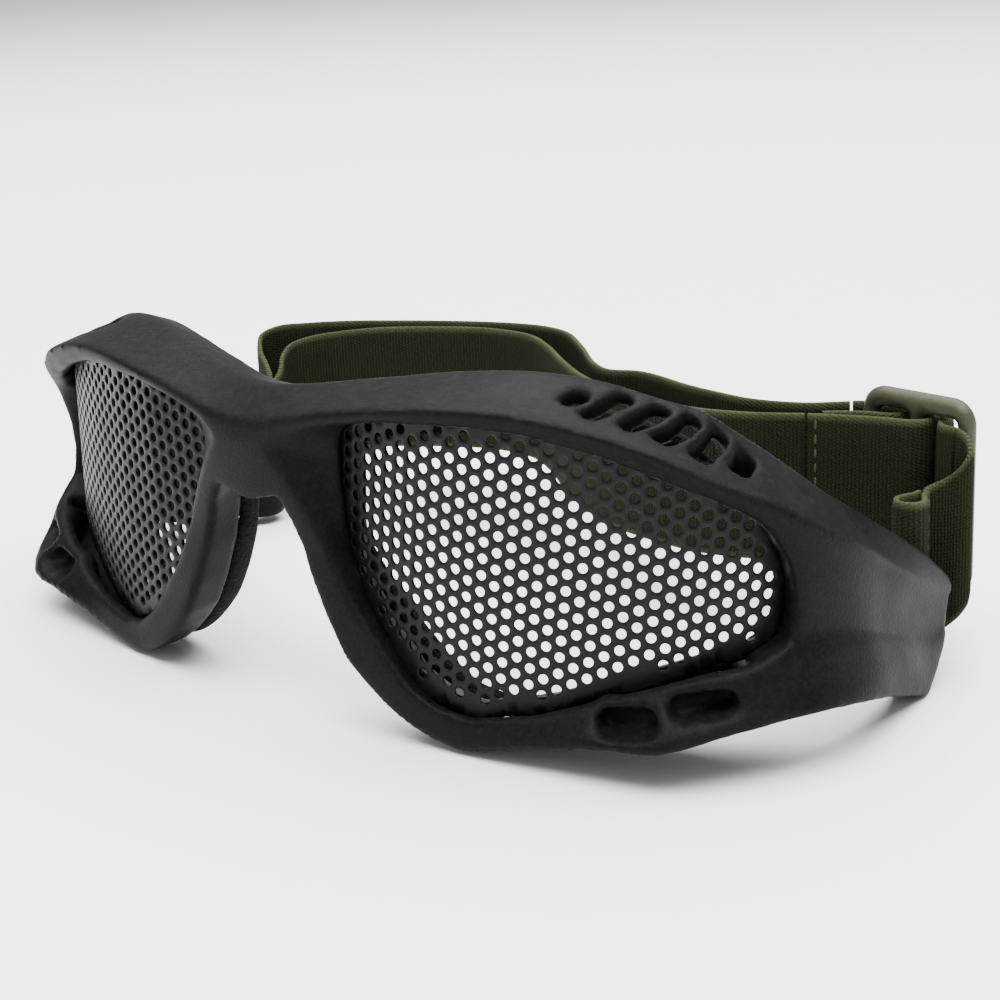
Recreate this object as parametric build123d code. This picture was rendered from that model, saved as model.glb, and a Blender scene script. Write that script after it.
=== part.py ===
from build123d import *
import math
import os

# Mesh safety goggles: a moulded frame with perforated steel lenses and a webbing head strap.
# Millimetres, +Z up. The front faces -Y, and the buckle is on the +X side.
# The origin is on the resting plane, under the middle of the whole object.

# Plan curve of the frame: a wide face arc, a tight temple arc, then a straight wing.
FACE_RADIUS = 130.0
FACE_HALF_WIDTH = 66.0
TEMPLE_RADIUS = 29.0
WING_TOE_IN = 95.0
FRONT_Y = -54.6

# Frame sections. Places along the curve are shares of HALF_FRONT, depths and heights
# are shares of SECTION_DEPTH and SECTION_HEIGHT. Depth is counted inwards from the curve.
HALF_FRONT = 100.0
SECTION_DEPTH = 20.0
SECTION_HEIGHT = 50.0
STATION_SHARES = (0.00, 0.20, 0.35, 0.50, 0.60, 0.68, 0.76, 0.84, 0.92, 1.02, 1.12, 1.22, 1.32)
BACK_TOP_SHARES = ((.65, 1.0), (.80, 1.028), (.85, 1.06), (.88, 1.064), (.87, 1.036), (.84, .992),
                   (.79, .96), (.69, .892), (.60, .81), (.42, .69), (.22, .56), (.13, .42), (.12, .28))
CROWN_SHARES = ((.35, 1.03), (.53, 1.066), (.59, 1.10), (.60, 1.106), (.59, 1.078), (.58, 1.034),
                (.56, 1.004), (.52, .936), (.46, .856), (.30, .73), (.10, .59), (-.05, .45), (-.10, .29))
CREASE_SHARES = ((.02, .94), (0, 1.01), (-.02, 1.04), (-.05, 1.03), (-.10, .99), (-.14, .94), (-.15, .86),
                 (-.17, .78), (-.16, .67), (-.15, .55), (-.15, .43), (-.14, .34), (-.13, .27))
PANEL_TOP_SHARES = ((0, .88), (.02, .98), (.02, 1.0), (.01, .99), (-.02, .95), (-.05, .90), (-.09, .82),
                    (-.13, .73), (-.12, .62), (-.11, .51), (-.11, .40), (-.11, .31), (-.11, .24))
PANEL_BASE_SHARES = ((.07, .54), (.07, .52), (0, .17), (-.02, .19), (-.04, .26), (-.05, .32), (-.09, .37),
                     (-.13, .41), (-.12, .39), (-.11, .33), (-.11, .25), (-.11, .18), (-.11, .20))
RIDGE_SHARES = ((.02, .28), (.02, .24), (-.02, .14), (-.07, .16), (-.10, .23), (-.11, .29), (-.14, .34),
                (-.15, .38), (-.17, .36), (-.17, .29), (-.16, .22), (-.15, .14), (-.12, .18))
FOLD_SHARES = ((.02, .12), (.05, .08), (0, .06), (-.16, .10), (-.31, .15), (-.41, .16), (-.33, .20),
               (-.25, .25), (-.23, .26), (-.22, .22), (-.20, .15), (-.16, .08), (-.12, .17))
BASE_FRONT_SHARES = ((.12, 0), (.12, 0), (.03, 0), (-.18, .08), (-.34, .12), (-.44, .13), (-.37, .17),
                     (-.32, .19), (-.30, .18), (-.24, .13), (-.20, .05), (-.15, 0), (-.11, .16))
BASE_BACK_SHARES = ((.40, 0), (.40, 0), (.38, .02), (.43, .04), (.45, .07), (.45, .09), (.45, .12),
                    (.36, .16), (.25, .16), (.18, .11), (.14, .05), (.13, 0), (.12, .16))
BACK_MID_SHARES = ((.45, .84), (.50, .86), (.66, .88), (.80, .88), (.80, .86), (.78, .82), (.71, .78),
                   (.52, .72), (.34, .64), (.21, .53), (.14, .42), (.13, .33), (.12, .22))
FRAME_WALL = 2.6
CAVITY_START_SHARE = .35
CAVITY_END_SHARE = .80

# Rear end of each wing, cut to a forward slant, in places along the curve and heights.
WING_END_SHARES = ((1.30, .30), (1.284, .184), (1.26, .10), (1.22, .03))

# Nose notch: half outline at the front, and how much it widens and rises with depth.
NOTCH_SHARES = ((0, .67), (.062, .70), (.085, .62), (.112, .49), (.144, .35), (.177, .24), (.211, .17),
                (.245, .11), (.28, .064), (.32, .028), (.37, .008), (.43, -.01))
NOTCH_FLARE_SHARE = .05
NOTCH_RISE_SHARE = .45
NOTCH_RISING_POINTS = 3

# Lens opening: places along the curve with the lower and upper edge heights, and the
# depth of the cut, which makes the sloped wall on the nose side.
OPENING_SHARES = ((.049, .866, .876), (.088, .76, .935), (.147, .59, .95), (.155, .55, .952),
                  (.202, .41, .965), (.24, .32, .975), (.297, .20, .985), (.337, .156, .992),
                  (.392, .130, .997), (.498, .172, .983), (.583, .23, .948), (.665, .28, .900),
                  (.734, .324, .842), (.804, .352, .762), (.834, .380, .705), (.856, .42, .60),
                  (.868, .485, .50))
BEVEL_START_SHARE = .049
BEVEL_END_SHARE = .147

# Perforated lens: depth of its front face along the curve, thickness, lean and holes.
LENS_DEPTH_SHARES = ((.049, .50), (.147, .33), (.20, .27), (.30, .175), (.40, .135), (.50, .13), (.90, .12))
LENS_THICKNESS = 0.9
LENS_LEAN_SHARE = .03
LENS_MARGIN = 1.5
LENS_START_SHARE = .15
LENS_MID_HEIGHT = 29.0
SEAT_CLEARANCE = 0.2
HOLE_DIAMETER = 1.5
HOLE_PITCH = 2.5
HOLE_LATTICE_TURN = -6.2
HOLE_EDGE = 1.1
RETAINER_THICKNESS = 1.6
RETAINER_WIDTH = 2.5

# Brow slots, crown dimples and lower vents, as places, depths and heights.
SLOT_PLACE_SHARES = ((.550, .36), (.600, .35), (.654, .33), (.707, .31), (.760, .27), (.810, .22))
SLOT_LENGTH = 9.4
SLOT_SHORT_SHARES = (.45, 1, 1, 1, 1, .72)
SLOT_WIDTH = 2.6
SLOT_SKEW = 34.0
DIMPLE_PLACE_SHARES = ((.929, .185, .764), (1.038, .09, .631))
DIMPLE_RADIUS = 2.3
DIMPLE_DEPTH = 0.9
VENT_PLACE_SHARES = ((.636, -.27, .196), (.734, -.30, .25))
VENT_LENGTH = 9.2
VENT_HEIGHT = 3.8
VENT_REACH = 9.0
VENT_TILT = 8.0

# Face foam, glued to the back rim of the frame.
FOAM_THICKNESS = 5.0
FOAM_INSET = 1.0
FOAM_DROP = 3.2
FOAM_SLOPE = 1.8
FOAM_OPENING = 1.0
FOAM_BORDER = 6.0
FOAM_END_SHARE = .93
SOFT_CLEARANCE = 0.3

# Strap rods, the webbing loops round them, and the keyways at the back of the wings.
ROD_DIAMETER = 3.0
ROD_PLACE_SHARE = 1.27
ROD_DEPTH = 3.8
ROD_HEIGHT = 22.5
LOOP_BOTTOM = 3.6
WEB_WIDTH = 25.0
WEB_THICKNESS = 1.3
LOOP_CLEARANCE = 0.05
LOOP_LEAD = 2.0
KEYWAY_CLEARANCE = 0.3
KEYWAY_WALL = 1.7
KEYWAY_TOP = 14.6
KEYWAY_FLOOR = 1.6
LOOP_SWING = 8.0

# Strap runs. Routes are shares of half the rod span sideways, and of the strap's reach
# from the rods to the back of the head. The last number is the share of the rise.
ROD_TO_BACK = 38.4
STRAP_RISE = 9.4
SPLIT_GAP = 0.3
RUN_STEPS = 26
LEAD_STEPS = 14
FRONT_RUN_SHARES = ((-.988, .13, 0), (-.990, .165, .06), (-1.000, .215, .2), (-1.017, .265, .42),
                    (-1.016, .33, .62), (-.975, .41, .76), (-.90, .485, .87), (-.79, .58, .97),
                    (-.62, .74, 1), (-.50, .82, 1), (-.36, .80, 1), (-.24, .66, 1), (-.10, .44, 1),
                    (.04, .24, 1), (.20, .08, 1), (.38, 0, 1))
BACK_RUN_SHARES = ((-1.005, .13, 0), (-1.011, .155, .07), (-1.045, .195, .26), (-1.095, .245, .52),
                   (-1.124, .315, .76), (-1.10, .39, .90), (-1.03, .475, .96), (-.92, .60, 1),
                   (-.70, .83, 1), (-.56, .94, 1), (-.41, 1, 1), (-.30, .95, 1), (-.15, .72, 1),
                   (0, .45, 1), (.07, .38, 1), (.15, .42, 1), (.33, .31, 1), (.42, .27, 1))
FRONT_LEAD_SHARES = ((.38, 0, 1), (.48, -.01, 1), (.60, .045, 1), (.70, .14, 1))
BACK_LEAD_SHARES = ((.42, .27, 1), (.53, .24, 1), (.65, .295, 1), (.73, .411, 1))

# Tri-glide buckle, and the webbing that moves with it, in shares of the buckle's width.
GLIDE_WIDTH = 21.5
GLIDE_RAIL = 3.4
GLIDE_SIDE = 3.0
GLIDE_BAR = 2.8
GLIDE_THICKNESS = 3.2
GLIDE_SLOT_CLEARANCE = 0.4
GLIDE_EDGE_ROUND = 1.0
GLIDE_CORNER = 4.2
GLIDE_TURN = -8.0
GLIDE_X_SHARE = .915
GLIDE_Y_SHARE = .36
GLIDE_BEND = 1.2
SEWN_LOOP_SHARES = ((-.66, -.48), (-.22, -.24), (.125, -.15), (.125, .125), (-.125, .125), (-.135, -.09),
                    (-.40, -.165), (-.62, -.36))
BAR_WRAP_SHARES = ((-.64, .03), (-.47, .155), (-.16, .21), (.20, .205), (.225, -.11), (.42, -.14))
RIGHT_LEAD_SHARES = ((.9965, .13, 0), (.999, .155, .05), (1.03, .184, .2), (1.062, .198, .45),
                     (1.074, .222, .7), (1.06, .243, .9), (1.035, .2515, 1))

OVERRUN = 30.0


def wrap_ends():
    """Return the curve angle and length at which the face arc gives way to the temple arc."""
    face_angle = math.asin(FACE_HALF_WIDTH / FACE_RADIUS)
    temple_sweep = math.radians(WING_TOE_IN) - face_angle
    return face_angle, FACE_RADIUS * face_angle, temple_sweep


def curve_place(wrap):
    """Return x, y and heading of the plan curve at a distance along it from the middle."""
    face_angle, face_length, temple_sweep = wrap_ends()
    temple_length = TEMPLE_RADIUS * temple_sweep
    centre_x = FACE_HALF_WIDTH - TEMPLE_RADIUS * math.sin(face_angle)
    centre_y = FRONT_Y + FACE_RADIUS - (FACE_RADIUS - TEMPLE_RADIUS) * math.cos(face_angle)
    if wrap <= face_length:
        heading = wrap / FACE_RADIUS
        return FACE_RADIUS * math.sin(heading), FRONT_Y + FACE_RADIUS * (1 - math.cos(heading)), heading
    heading = face_angle + min(wrap - face_length, temple_length) / TEMPLE_RADIUS
    x = centre_x + TEMPLE_RADIUS * math.sin(heading)
    y = centre_y - TEMPLE_RADIUS * math.cos(heading)
    straight = max(wrap - face_length - temple_length, 0)
    return x + straight * math.cos(heading), y + straight * math.sin(heading), heading


def place(wrap, depth, height):
    """Return the point at a distance along the curve, a depth inwards and a height."""
    x, y, heading = curve_place(wrap)
    return Vector(x - depth * math.sin(heading), y + depth * math.cos(heading), height)


def between(table, at):
    """Interpolate a table of rows by their first value."""
    for low, high in zip(table, table[1:]):
        if at <= high[0]:
            part = max((at - low[0]) / (high[0] - low[0]), 0)
            return tuple(a + (b - a) * part for a, b in zip(low, high))
    return table[-1]


def section_line(shares, at):
    """Return the depth and height of one moulded line of the frame at a place share."""
    table = [(station,) + pair for station, pair in zip(STATION_SHARES, shares)]
    row = between(table, at)
    return row[1] * SECTION_DEPTH, row[2] * SECTION_HEIGHT


def loft_sections(sections):
    """Loft a solid through closed sections, each a wrap and its depth and height corners."""
    wires = [Wire.make_polygon([place(wrap, n, z) for n, z in corners], close=True)
             for wrap, corners in sections]
    return Solid.make_loft(wires, ruled=True)


def mirrored(part):
    """Return the part's twin on the other side of the nose."""
    return mirror(part, about=Plane.YZ)


def inset_chain(chain, wall):
    """Offset an open chain of depth and height points towards its inside, with mitres."""
    lines = []
    for (n0, z0), (n1, z1) in zip(chain, chain[1:]):
        length = math.hypot(n1 - n0, z1 - z0)
        shift_n = -(z1 - z0) / length * wall
        shift_z = (n1 - n0) / length * wall
        lines.append(((n0 + shift_n, z0 + shift_z), (n1 + shift_n, z1 + shift_z)))
    corners = [lines[0][0]]
    for (a, b), (c, d) in zip(lines, lines[1:]):
        run_1 = (b[0] - a[0], b[1] - a[1])
        run_2 = (d[0] - c[0], d[1] - c[1])
        cross = run_1[0] * run_2[1] - run_1[1] * run_2[0]
        along = ((c[0] - a[0]) * run_2[1] - (c[1] - a[1]) * run_2[0]) / cross
        corners.append((a[0] + run_1[0] * along, a[1] + run_1[1] * along))
    corners.append(lines[-1][1])
    return corners


def frame_blank():
    """Return the outer form of the whole frame, without its openings."""
    lines = (BACK_TOP_SHARES, CROWN_SHARES, CREASE_SHARES, PANEL_TOP_SHARES, PANEL_BASE_SHARES,
             RIDGE_SHARES, FOLD_SHARES, BASE_FRONT_SHARES, BASE_BACK_SHARES, BACK_MID_SHARES)
    sections = [(at * HALF_FRONT, [section_line(line, at) for line in lines]) for at in STATION_SHARES]
    half = loft_sections(sections)
    return half + mirrored(half)


def frame_cavity():
    """Return the hollow behind one side of the frame, open to the back."""
    lines = (BACK_TOP_SHARES, CROWN_SHARES, PANEL_TOP_SHARES, PANEL_BASE_SHARES, BASE_FRONT_SHARES,
             BASE_BACK_SHARES)
    stations = [CAVITY_START_SHARE]
    stations += [at for at in STATION_SHARES if CAVITY_START_SHARE < at < CAVITY_END_SHARE]
    stations += [CAVITY_END_SHARE]
    sections = []
    for at in stations:
        chain = inset_chain([section_line(line, at) for line in lines], FRAME_WALL)
        top, base = chain[0], chain[-1]
        corners = [(top[0] + OVERRUN, top[1])] + chain + [(base[0] + OVERRUN, base[1])]
        sections.append((at * HALF_FRONT, corners))
    return loft_sections(sections)


def lens_rows(margin, start):
    """Return the wrap and the edge heights at each station of the lens, grown by a margin."""
    first = between(OPENING_SHARES, start)
    rows = [first] + [row for row in OPENING_SHARES if row[0] > start]
    places = [row[0] * HALF_FRONT for row in rows]
    places[0] -= max(margin, 0)
    places[-1] += max(margin, 0)
    grown = [(wrap, row[1] * SECTION_HEIGHT - margin, row[2] * SECTION_HEIGHT + margin)
             for wrap, row in zip(places, rows)]
    return [row for row in grown if row[2] > row[1]]


def lens_stations():
    """Return the wraps of the fold lines between the lens's flat facets, seat included."""
    return [wrap for wrap, _, _ in lens_rows(LENS_MARGIN + SEAT_CLEARANCE, LENS_START_SHARE)]


def lens_point(wrap, height, behind=0):
    """Return a point behind the lens's front face, which leans back as it rises."""
    depth = between(LENS_DEPTH_SHARES, wrap / HALF_FRONT)[1] * SECTION_DEPTH
    point = place(wrap, depth + behind, LENS_MID_HEIGHT)
    rise = height - LENS_MID_HEIGHT
    return point + Vector(0, rise * LENS_LEAN_SHARE, rise)


def lens_slab(margin, front, back, start=LENS_START_SHARE):
    """Return a slab of flat facets that follows the lens between two distances behind it."""
    foot = -OVERRUN
    near = [lens_point(wrap, foot, front) for wrap in lens_stations()]
    far = [lens_point(wrap, foot, back) for wrap in lens_stations()]
    band = make_face(Polyline(*near, *reversed(far), close=True))
    rise = 2 * OVERRUN + SECTION_HEIGHT
    slab = extrude(band, amount=rise, dir=Vector(0, LENS_LEAN_SHARE, 1))
    rows = lens_rows(margin, start)
    sides = [lens_point(wrap, LENS_MID_HEIGHT, front).X for wrap, _, _ in rows]
    outline = [Vector(x, FRONT_Y - OVERRUN, row[1]) for x, row in zip(sides, rows)]
    outline += [Vector(x, FRONT_Y - OVERRUN, row[2]) for x, row in zip(reversed(sides), reversed(rows))]
    window = extrude(make_face(Polyline(*outline, close=True)), amount=4 * OVERRUN, dir=Vector(0, 1, 0))
    return slab & window


def opening_cut():
    """Return the cut through the front of the frame, with its sloped nose-side wall."""
    sections = []
    for at, low_share, high_share in OPENING_SHARES:
        low = low_share * SECTION_HEIGHT
        high = high_share * SECTION_HEIGHT
        slope = (at - BEVEL_START_SHARE) / (BEVEL_END_SHARE - BEVEL_START_SHARE)
        full = between(LENS_DEPTH_SHARES, BEVEL_END_SHARE)[1] * SECTION_DEPTH
        deep = full * slope if at < BEVEL_END_SHARE else full + LENS_MARGIN
        sections.append((at * HALF_FRONT, [(-SECTION_DEPTH, low), (-SECTION_DEPTH, high),
                                           (deep, high), (deep, low)]))
    return loft_sections(sections)


def notch_cut(extra=0):
    """Return the nose notch, cut from front to back, wider and higher at the back."""
    polygons = []
    for depth in (-SECTION_DEPTH, SECTION_DEPTH + OVERRUN):
        y = FRONT_Y + depth
        widen = extra + depth * NOTCH_FLARE_SHARE
        lift = extra + depth * NOTCH_RISE_SHARE
        rises = [lift] * NOTCH_RISING_POINTS + [0] * len(NOTCH_SHARES)
        half = [(at * HALF_FRONT, z * SECTION_HEIGHT + rise) for (at, z), rise in zip(NOTCH_SHARES, rises)]
        half = [(x + widen * min(x / (NOTCH_SHARES[2][0] * HALF_FRONT), 1), z) for x, z in half]
        half.append((half[-1][0] + OVERRUN * NOTCH_FLARE_SHARE, -OVERRUN))
        outline = [(-x, z) for x, z in reversed(half)] + half[1:]
        polygons.append(Wire.make_polygon([Vector(x, y, z) for x, z in outline], close=True))
    return Solid.make_loft(polygons, ruled=True)


def local_location(at_share, depth, height):
    """Return a location whose X runs along the curve, Y inwards and Z up."""
    heading = math.degrees(curve_place(at_share * HALF_FRONT)[2])
    return Location(place(at_share * HALF_FRONT, depth, height), (0, 0, heading))


def brow_slots():
    """Return the cutters of the slanted slots in one side of the brow."""
    cutters = []
    for (at, depth), length_share in zip(SLOT_PLACE_SHARES, SLOT_SHORT_SHARES):
        height = section_line(CREASE_SHARES, at)[1]
        length = SLOT_LENGTH * length_share
        body = Box(SLOT_WIDTH, length, SECTION_HEIGHT / 2)
        turned = Location((0, 0, 0), (0, 0, -SLOT_SKEW)) * body
        cutters.append(local_location(at, depth * SECTION_DEPTH, height) * turned)
    return cutters


def crown_dimples():
    """Return the shallow round dimples behind the brow slots of one side."""
    lift = DIMPLE_RADIUS - DIMPLE_DEPTH
    cutters = []
    for at, depth, height in DIMPLE_PLACE_SHARES:
        point = place(at * HALF_FRONT, depth * SECTION_DEPTH - lift, height * SECTION_HEIGHT + lift)
        cutters.append(Pos(point) * Sphere(DIMPLE_RADIUS))
    return cutters


def lower_vents():
    """Return the cutters of the two vents under one lens."""
    cutters = []
    for at, depth, height in VENT_PLACE_SHARES:
        slot = SlotOverall(VENT_LENGTH, VENT_HEIGHT)
        body = extrude(Location((0, 0, 0), (90, 0, 0)) * slot, VENT_REACH / 2, both=True)
        tilted = Location((0, 0, 0), (0, -VENT_TILT, 0)) * body
        cutters.append(local_location(at, depth * SECTION_DEPTH, height * SECTION_HEIGHT) * tilted)
    return cutters


def wing_end_cut():
    """Return the cutter that slants the rear end of one wing."""
    points = [(at * HALF_FRONT, z * SECTION_HEIGHT) for at, z in WING_END_SHARES]
    start = points[0]
    foot = points[-1]
    outline = points + [(foot[0] - OVERRUN * math.sin(math.radians(LOOP_SWING)), -OVERRUN),
                        (start[0] + OVERRUN, -OVERRUN), (start[0] + OVERRUN, OVERRUN), (start[0], OVERRUN)]
    wires = []
    for depth in (-SECTION_DEPTH, ROD_DEPTH - loop_radius() + WEB_THICKNESS):
        wires.append(Wire.make_polygon([place(wrap, depth, z) for wrap, z in outline], close=True))
    return Solid.make_loft(wires, ruled=True)


def loop_radius():
    """Return the outer radius of the webbing round a rod."""
    return ROD_DIAMETER / 2 + LOOP_CLEARANCE + WEB_THICKNESS


def keyway_boss():
    """Return the round boss that carries a strap rod, inside the rear of one wing."""
    inner = loop_radius() + KEYWAY_CLEARANCE
    outer = inner + KEYWAY_WALL
    floor = LOOP_BOTTOM - KEYWAY_CLEARANCE - KEYWAY_FLOOR
    height = KEYWAY_TOP - floor
    base = local_location(ROD_PLACE_SHARE, ROD_DEPTH, floor)
    up = (Align.CENTER, Align.CENTER, Align.MIN)
    post = Cylinder(outer, height, align=up)
    web = Pos(-outer / 2, -ROD_DEPTH / 2, 0) * Box(outer, ROD_DEPTH, height, align=up)
    return base * (post + web)


def keyway_pocket():
    """Return the pocket of the boss and its mouth, open to the back and the top."""
    inner = loop_radius() + KEYWAY_CLEARANCE
    outer = inner + KEYWAY_WALL
    mouth = 2 * (WEB_THICKNESS + outer * math.tan(math.radians(LOOP_SWING)) + LOOP_CLEARANCE)
    base = local_location(ROD_PLACE_SHARE, ROD_DEPTH, LOOP_BOTTOM - KEYWAY_CLEARANCE)
    up = (Align.CENTER, Align.CENTER, Align.MIN)
    bore = Cylinder(inner, OVERRUN, align=up)
    gap = Box(OVERRUN, mouth, OVERRUN, align=(Align.MIN, Align.CENTER, Align.MIN))
    return base * (bore + gap)


def frame_shell():
    """Return the moulded frame as one solid."""
    frame = frame_blank()
    boss = keyway_boss()
    frame = frame + boss + mirrored(boss)
    right_cuts = [frame_cavity(), opening_cut(), wing_end_cut(), keyway_pocket()]
    right_cuts.append(lens_slab(LENS_MARGIN + SEAT_CLEARANCE, 0, OVERRUN))
    right_cuts += brow_slots() + crown_dimples() + lower_vents()
    for cut in right_cuts:
        frame = frame - cut - mirrored(cut)
    return frame - notch_cut()


def hole_places(margin):
    """Return the wrap and height of each hole that lies inside the lens outline."""
    column_step = HOLE_PITCH * math.cos(math.radians(30))
    turn = math.radians(HOLE_LATTICE_TURN)
    columns = int(HALF_FRONT / column_step)
    rows = int(2 * SECTION_HEIGHT / HOLE_PITCH)
    found = []
    for column in range(-columns, columns):
        for row in range(-rows, rows):
            across = column * column_step
            up = (row + (column % 2) / 2) * HOLE_PITCH
            wrap = HALF_FRONT / 2 + across * math.cos(turn) - up * math.sin(turn)
            height = LENS_MID_HEIGHT + across * math.sin(turn) + up * math.cos(turn)
            at = wrap / HALF_FRONT
            if at < LENS_START_SHARE or at > OPENING_SHARES[-1][0]:
                continue
            _, low, high = between(OPENING_SHARES, at)
            left = (at - LENS_START_SHARE) * HALF_FRONT
            if low * SECTION_HEIGHT + margin < height < high * SECTION_HEIGHT - margin and left > margin:
                found.append((wrap, height))
    return found


def lens_mesh():
    """Return the right lens: a curved steel sheet with round holes in a hexagonal pattern."""
    sheet = lens_slab(LENS_MARGIN, 0, LENS_THICKNESS)
    pins = []
    stations = lens_stations()
    for wrap, height in hole_places(HOLE_EDGE):
        low = max(station for station in stations if station <= wrap)
        high = min(station for station in stations if station > wrap)
        start = lens_point(low, LENS_MID_HEIGHT)
        chord = lens_point(high, LENS_MID_HEIGHT) - start
        rise = Vector(0, LENS_LEAN_SHARE, 1)
        point = start + chord * ((wrap - low) / (high - low)) + rise * (height - LENS_MID_HEIGHT)
        pin = Cylinder(HOLE_DIAMETER / 2, 4 * LENS_THICKNESS)
        pins.append(Plane(origin=point, z_dir=rise.cross(chord)) * pin)
    return sheet.cut(*[pin.solid() for pin in pins])


def lens_retainer():
    """Return the thin inner rim that holds the right lens against the frame."""
    outer = lens_slab(LENS_MARGIN, LENS_THICKNESS, LENS_THICKNESS + RETAINER_THICKNESS)
    start = LENS_START_SHARE + RETAINER_WIDTH / HALF_FRONT
    return outer - lens_slab(LENS_MARGIN - RETAINER_WIDTH, -LENS_THICKNESS, OVERRUN, start)


def face_foam():
    """Return the foam cushion on the back rim, with both eye openings and the nose notch."""
    stations = [at for at in STATION_SHARES if at < FOAM_END_SHARE] + [FOAM_END_SHARE]
    sections = []
    for at in stations:
        rim_depth, rim = section_line(BACK_TOP_SHARES, at)
        mid_depth, mid = section_line(BACK_MID_SHARES, at)
        base_depth, base = section_line(BASE_BACK_SHARES, at)
        top = rim - FOAM_DROP
        top_depth = mid_depth + (rim_depth - mid_depth) * (top - mid) / (rim - mid)
        front = SOFT_CLEARANCE
        back = SOFT_CLEARANCE + FOAM_THICKNESS
        sections.append((at * HALF_FRONT, [(top_depth + front, top), (top_depth + back, top - FOAM_SLOPE),
                                           (mid_depth + back, mid), (base_depth + back, base + FOAM_INSET),
                                           (base_depth + front, base + FOAM_INSET),
                                           (mid_depth + front, mid)]))
    half = loft_sections(sections)
    foam = half + mirrored(half)
    window = lens_slab(FOAM_OPENING, 0, OVERRUN + FOAM_THICKNESS)
    window = window & (Pos(0, 0, -FOAM_BORDER) * window)
    foam = foam - window - mirrored(window)
    return foam - notch_cut(FOAM_INSET)


def strap_rod():
    """Return the right strap rod, with a domed top."""
    radius = ROD_DIAMETER / 2
    shank = Cylinder(radius, ROD_HEIGHT - radius, align=(Align.CENTER, Align.CENTER, Align.MIN))
    dome = Pos(0, 0, ROD_HEIGHT - radius) * Sphere(radius)
    return local_location(ROD_PLACE_SHARE, ROD_DEPTH, LOOP_BOTTOM) * (shank + dome)


def strap_end_loop():
    """Return the right end loop of the webbing: a hem round the rod and its doubled tail."""
    up = (Align.CENTER, Align.CENTER, Align.MIN)
    along = (Align.MIN, Align.CENTER, Align.MIN)
    hem = Cylinder(loop_radius(), WEB_WIDTH, align=up)
    tail = Box(LOOP_LEAD + loop_radius(), 2 * WEB_THICKNESS, WEB_WIDTH, align=along)
    bore = Cylinder(ROD_DIAMETER / 2 + LOOP_CLEARANCE, WEB_WIDTH, align=up)
    return local_location(ROD_PLACE_SHARE, ROD_DEPTH, LOOP_BOTTOM) * (hem + tail - bore)


def route_points(shares):
    """Turn route shares into points with a height at the webbing's lower edge."""
    rod = place(ROD_PLACE_SHARE * HALF_FRONT, ROD_DEPTH, LOOP_BOTTOM)
    return [Vector(rod.X * across, rod.Y + ROD_TO_BACK * back, LOOP_BOTTOM + STRAP_RISE * rise)
            for across, back, rise in shares]


def glide_point(across, back):
    """Return a point beside the buckle, in shares of its width, turned as it is turned."""
    rod = place(ROD_PLACE_SHARE * HALF_FRONT, ROD_DEPTH, LOOP_BOTTOM)
    turn = math.radians(GLIDE_TURN)
    u = across * GLIDE_WIDTH
    v = back * GLIDE_WIDTH
    x = rod.X * GLIDE_X_SHARE + u * math.cos(turn) - v * math.sin(turn)
    y = rod.Y + ROD_TO_BACK * GLIDE_Y_SHARE + u * math.sin(turn) + v * math.cos(turn)
    return Vector(x, y, LOOP_BOTTOM + STRAP_RISE)


def webbing(points, count):
    """Return a flat webbing run: upright sections lofted along a smooth curve of points."""
    path = Spline(*points)
    wires = []
    for step in range(count + 1):
        share = step / count
        middle = path @ share
        run = path % share
        flat = math.hypot(run.X, run.Y)
        side = Vector(-run.Y / flat, run.X / flat, 0) * (WEB_THICKNESS / 2)
        rise = Vector(0, 0, WEB_WIDTH)
        corners = [middle - side, middle + side, middle + side + rise, middle - side + rise]
        wires.append(Wire.make_polygon(corners, close=True))
    return Solid.make_loft(wires, ruled=True)


def trimmed_route(points):
    """Draw back the first and last points by half the gap left at a split."""
    first = (points[1] - points[0]).normalized() * (SPLIT_GAP / 2)
    last = (points[-2] - points[-1]).normalized() * (SPLIT_GAP / 2)
    return [points[0] + first] + points[1:-1] + [points[-1] + last]


def glide_webbing(shares):
    """Return webbing of one height that bends round the buckle's bars."""
    points = [glide_point(*share) for share in shares]
    path = FilletPolyline(*points, radius=GLIDE_BEND)
    return extrude(trace(path, WEB_THICKNESS), amount=WEB_WIDTH)


def tri_glide():
    """Return the tri-glide buckle: an upright plate with two slots and rounded edges."""
    slot_height = WEB_WIDTH + 2 * GLIDE_SLOT_CLEARANCE
    height = slot_height + 2 * GLIDE_RAIL
    slot_width = (GLIDE_WIDTH - 2 * GLIDE_SIDE - GLIDE_BAR) / 2
    outline = RectangleRounded(GLIDE_WIDTH, height, GLIDE_CORNER)
    plate = extrude(outline, GLIDE_THICKNESS / 2, both=True)
    plate = fillet(plate.edges().filter_by(Plane.XY), GLIDE_EDGE_ROUND)
    for side in (-1, 1):
        centre = side * (GLIDE_BAR + slot_width) / 2
        plate -= Pos(centre, 0, 0) * Box(slot_width, slot_height, OVERRUN)
    middle = glide_point(0, 0) + Vector(0, 0, WEB_WIDTH / 2)
    return Location(middle, (0, 0, GLIDE_TURN)) * (Location((0, 0, 0), (90, 0, 0)) * plate)


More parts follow.
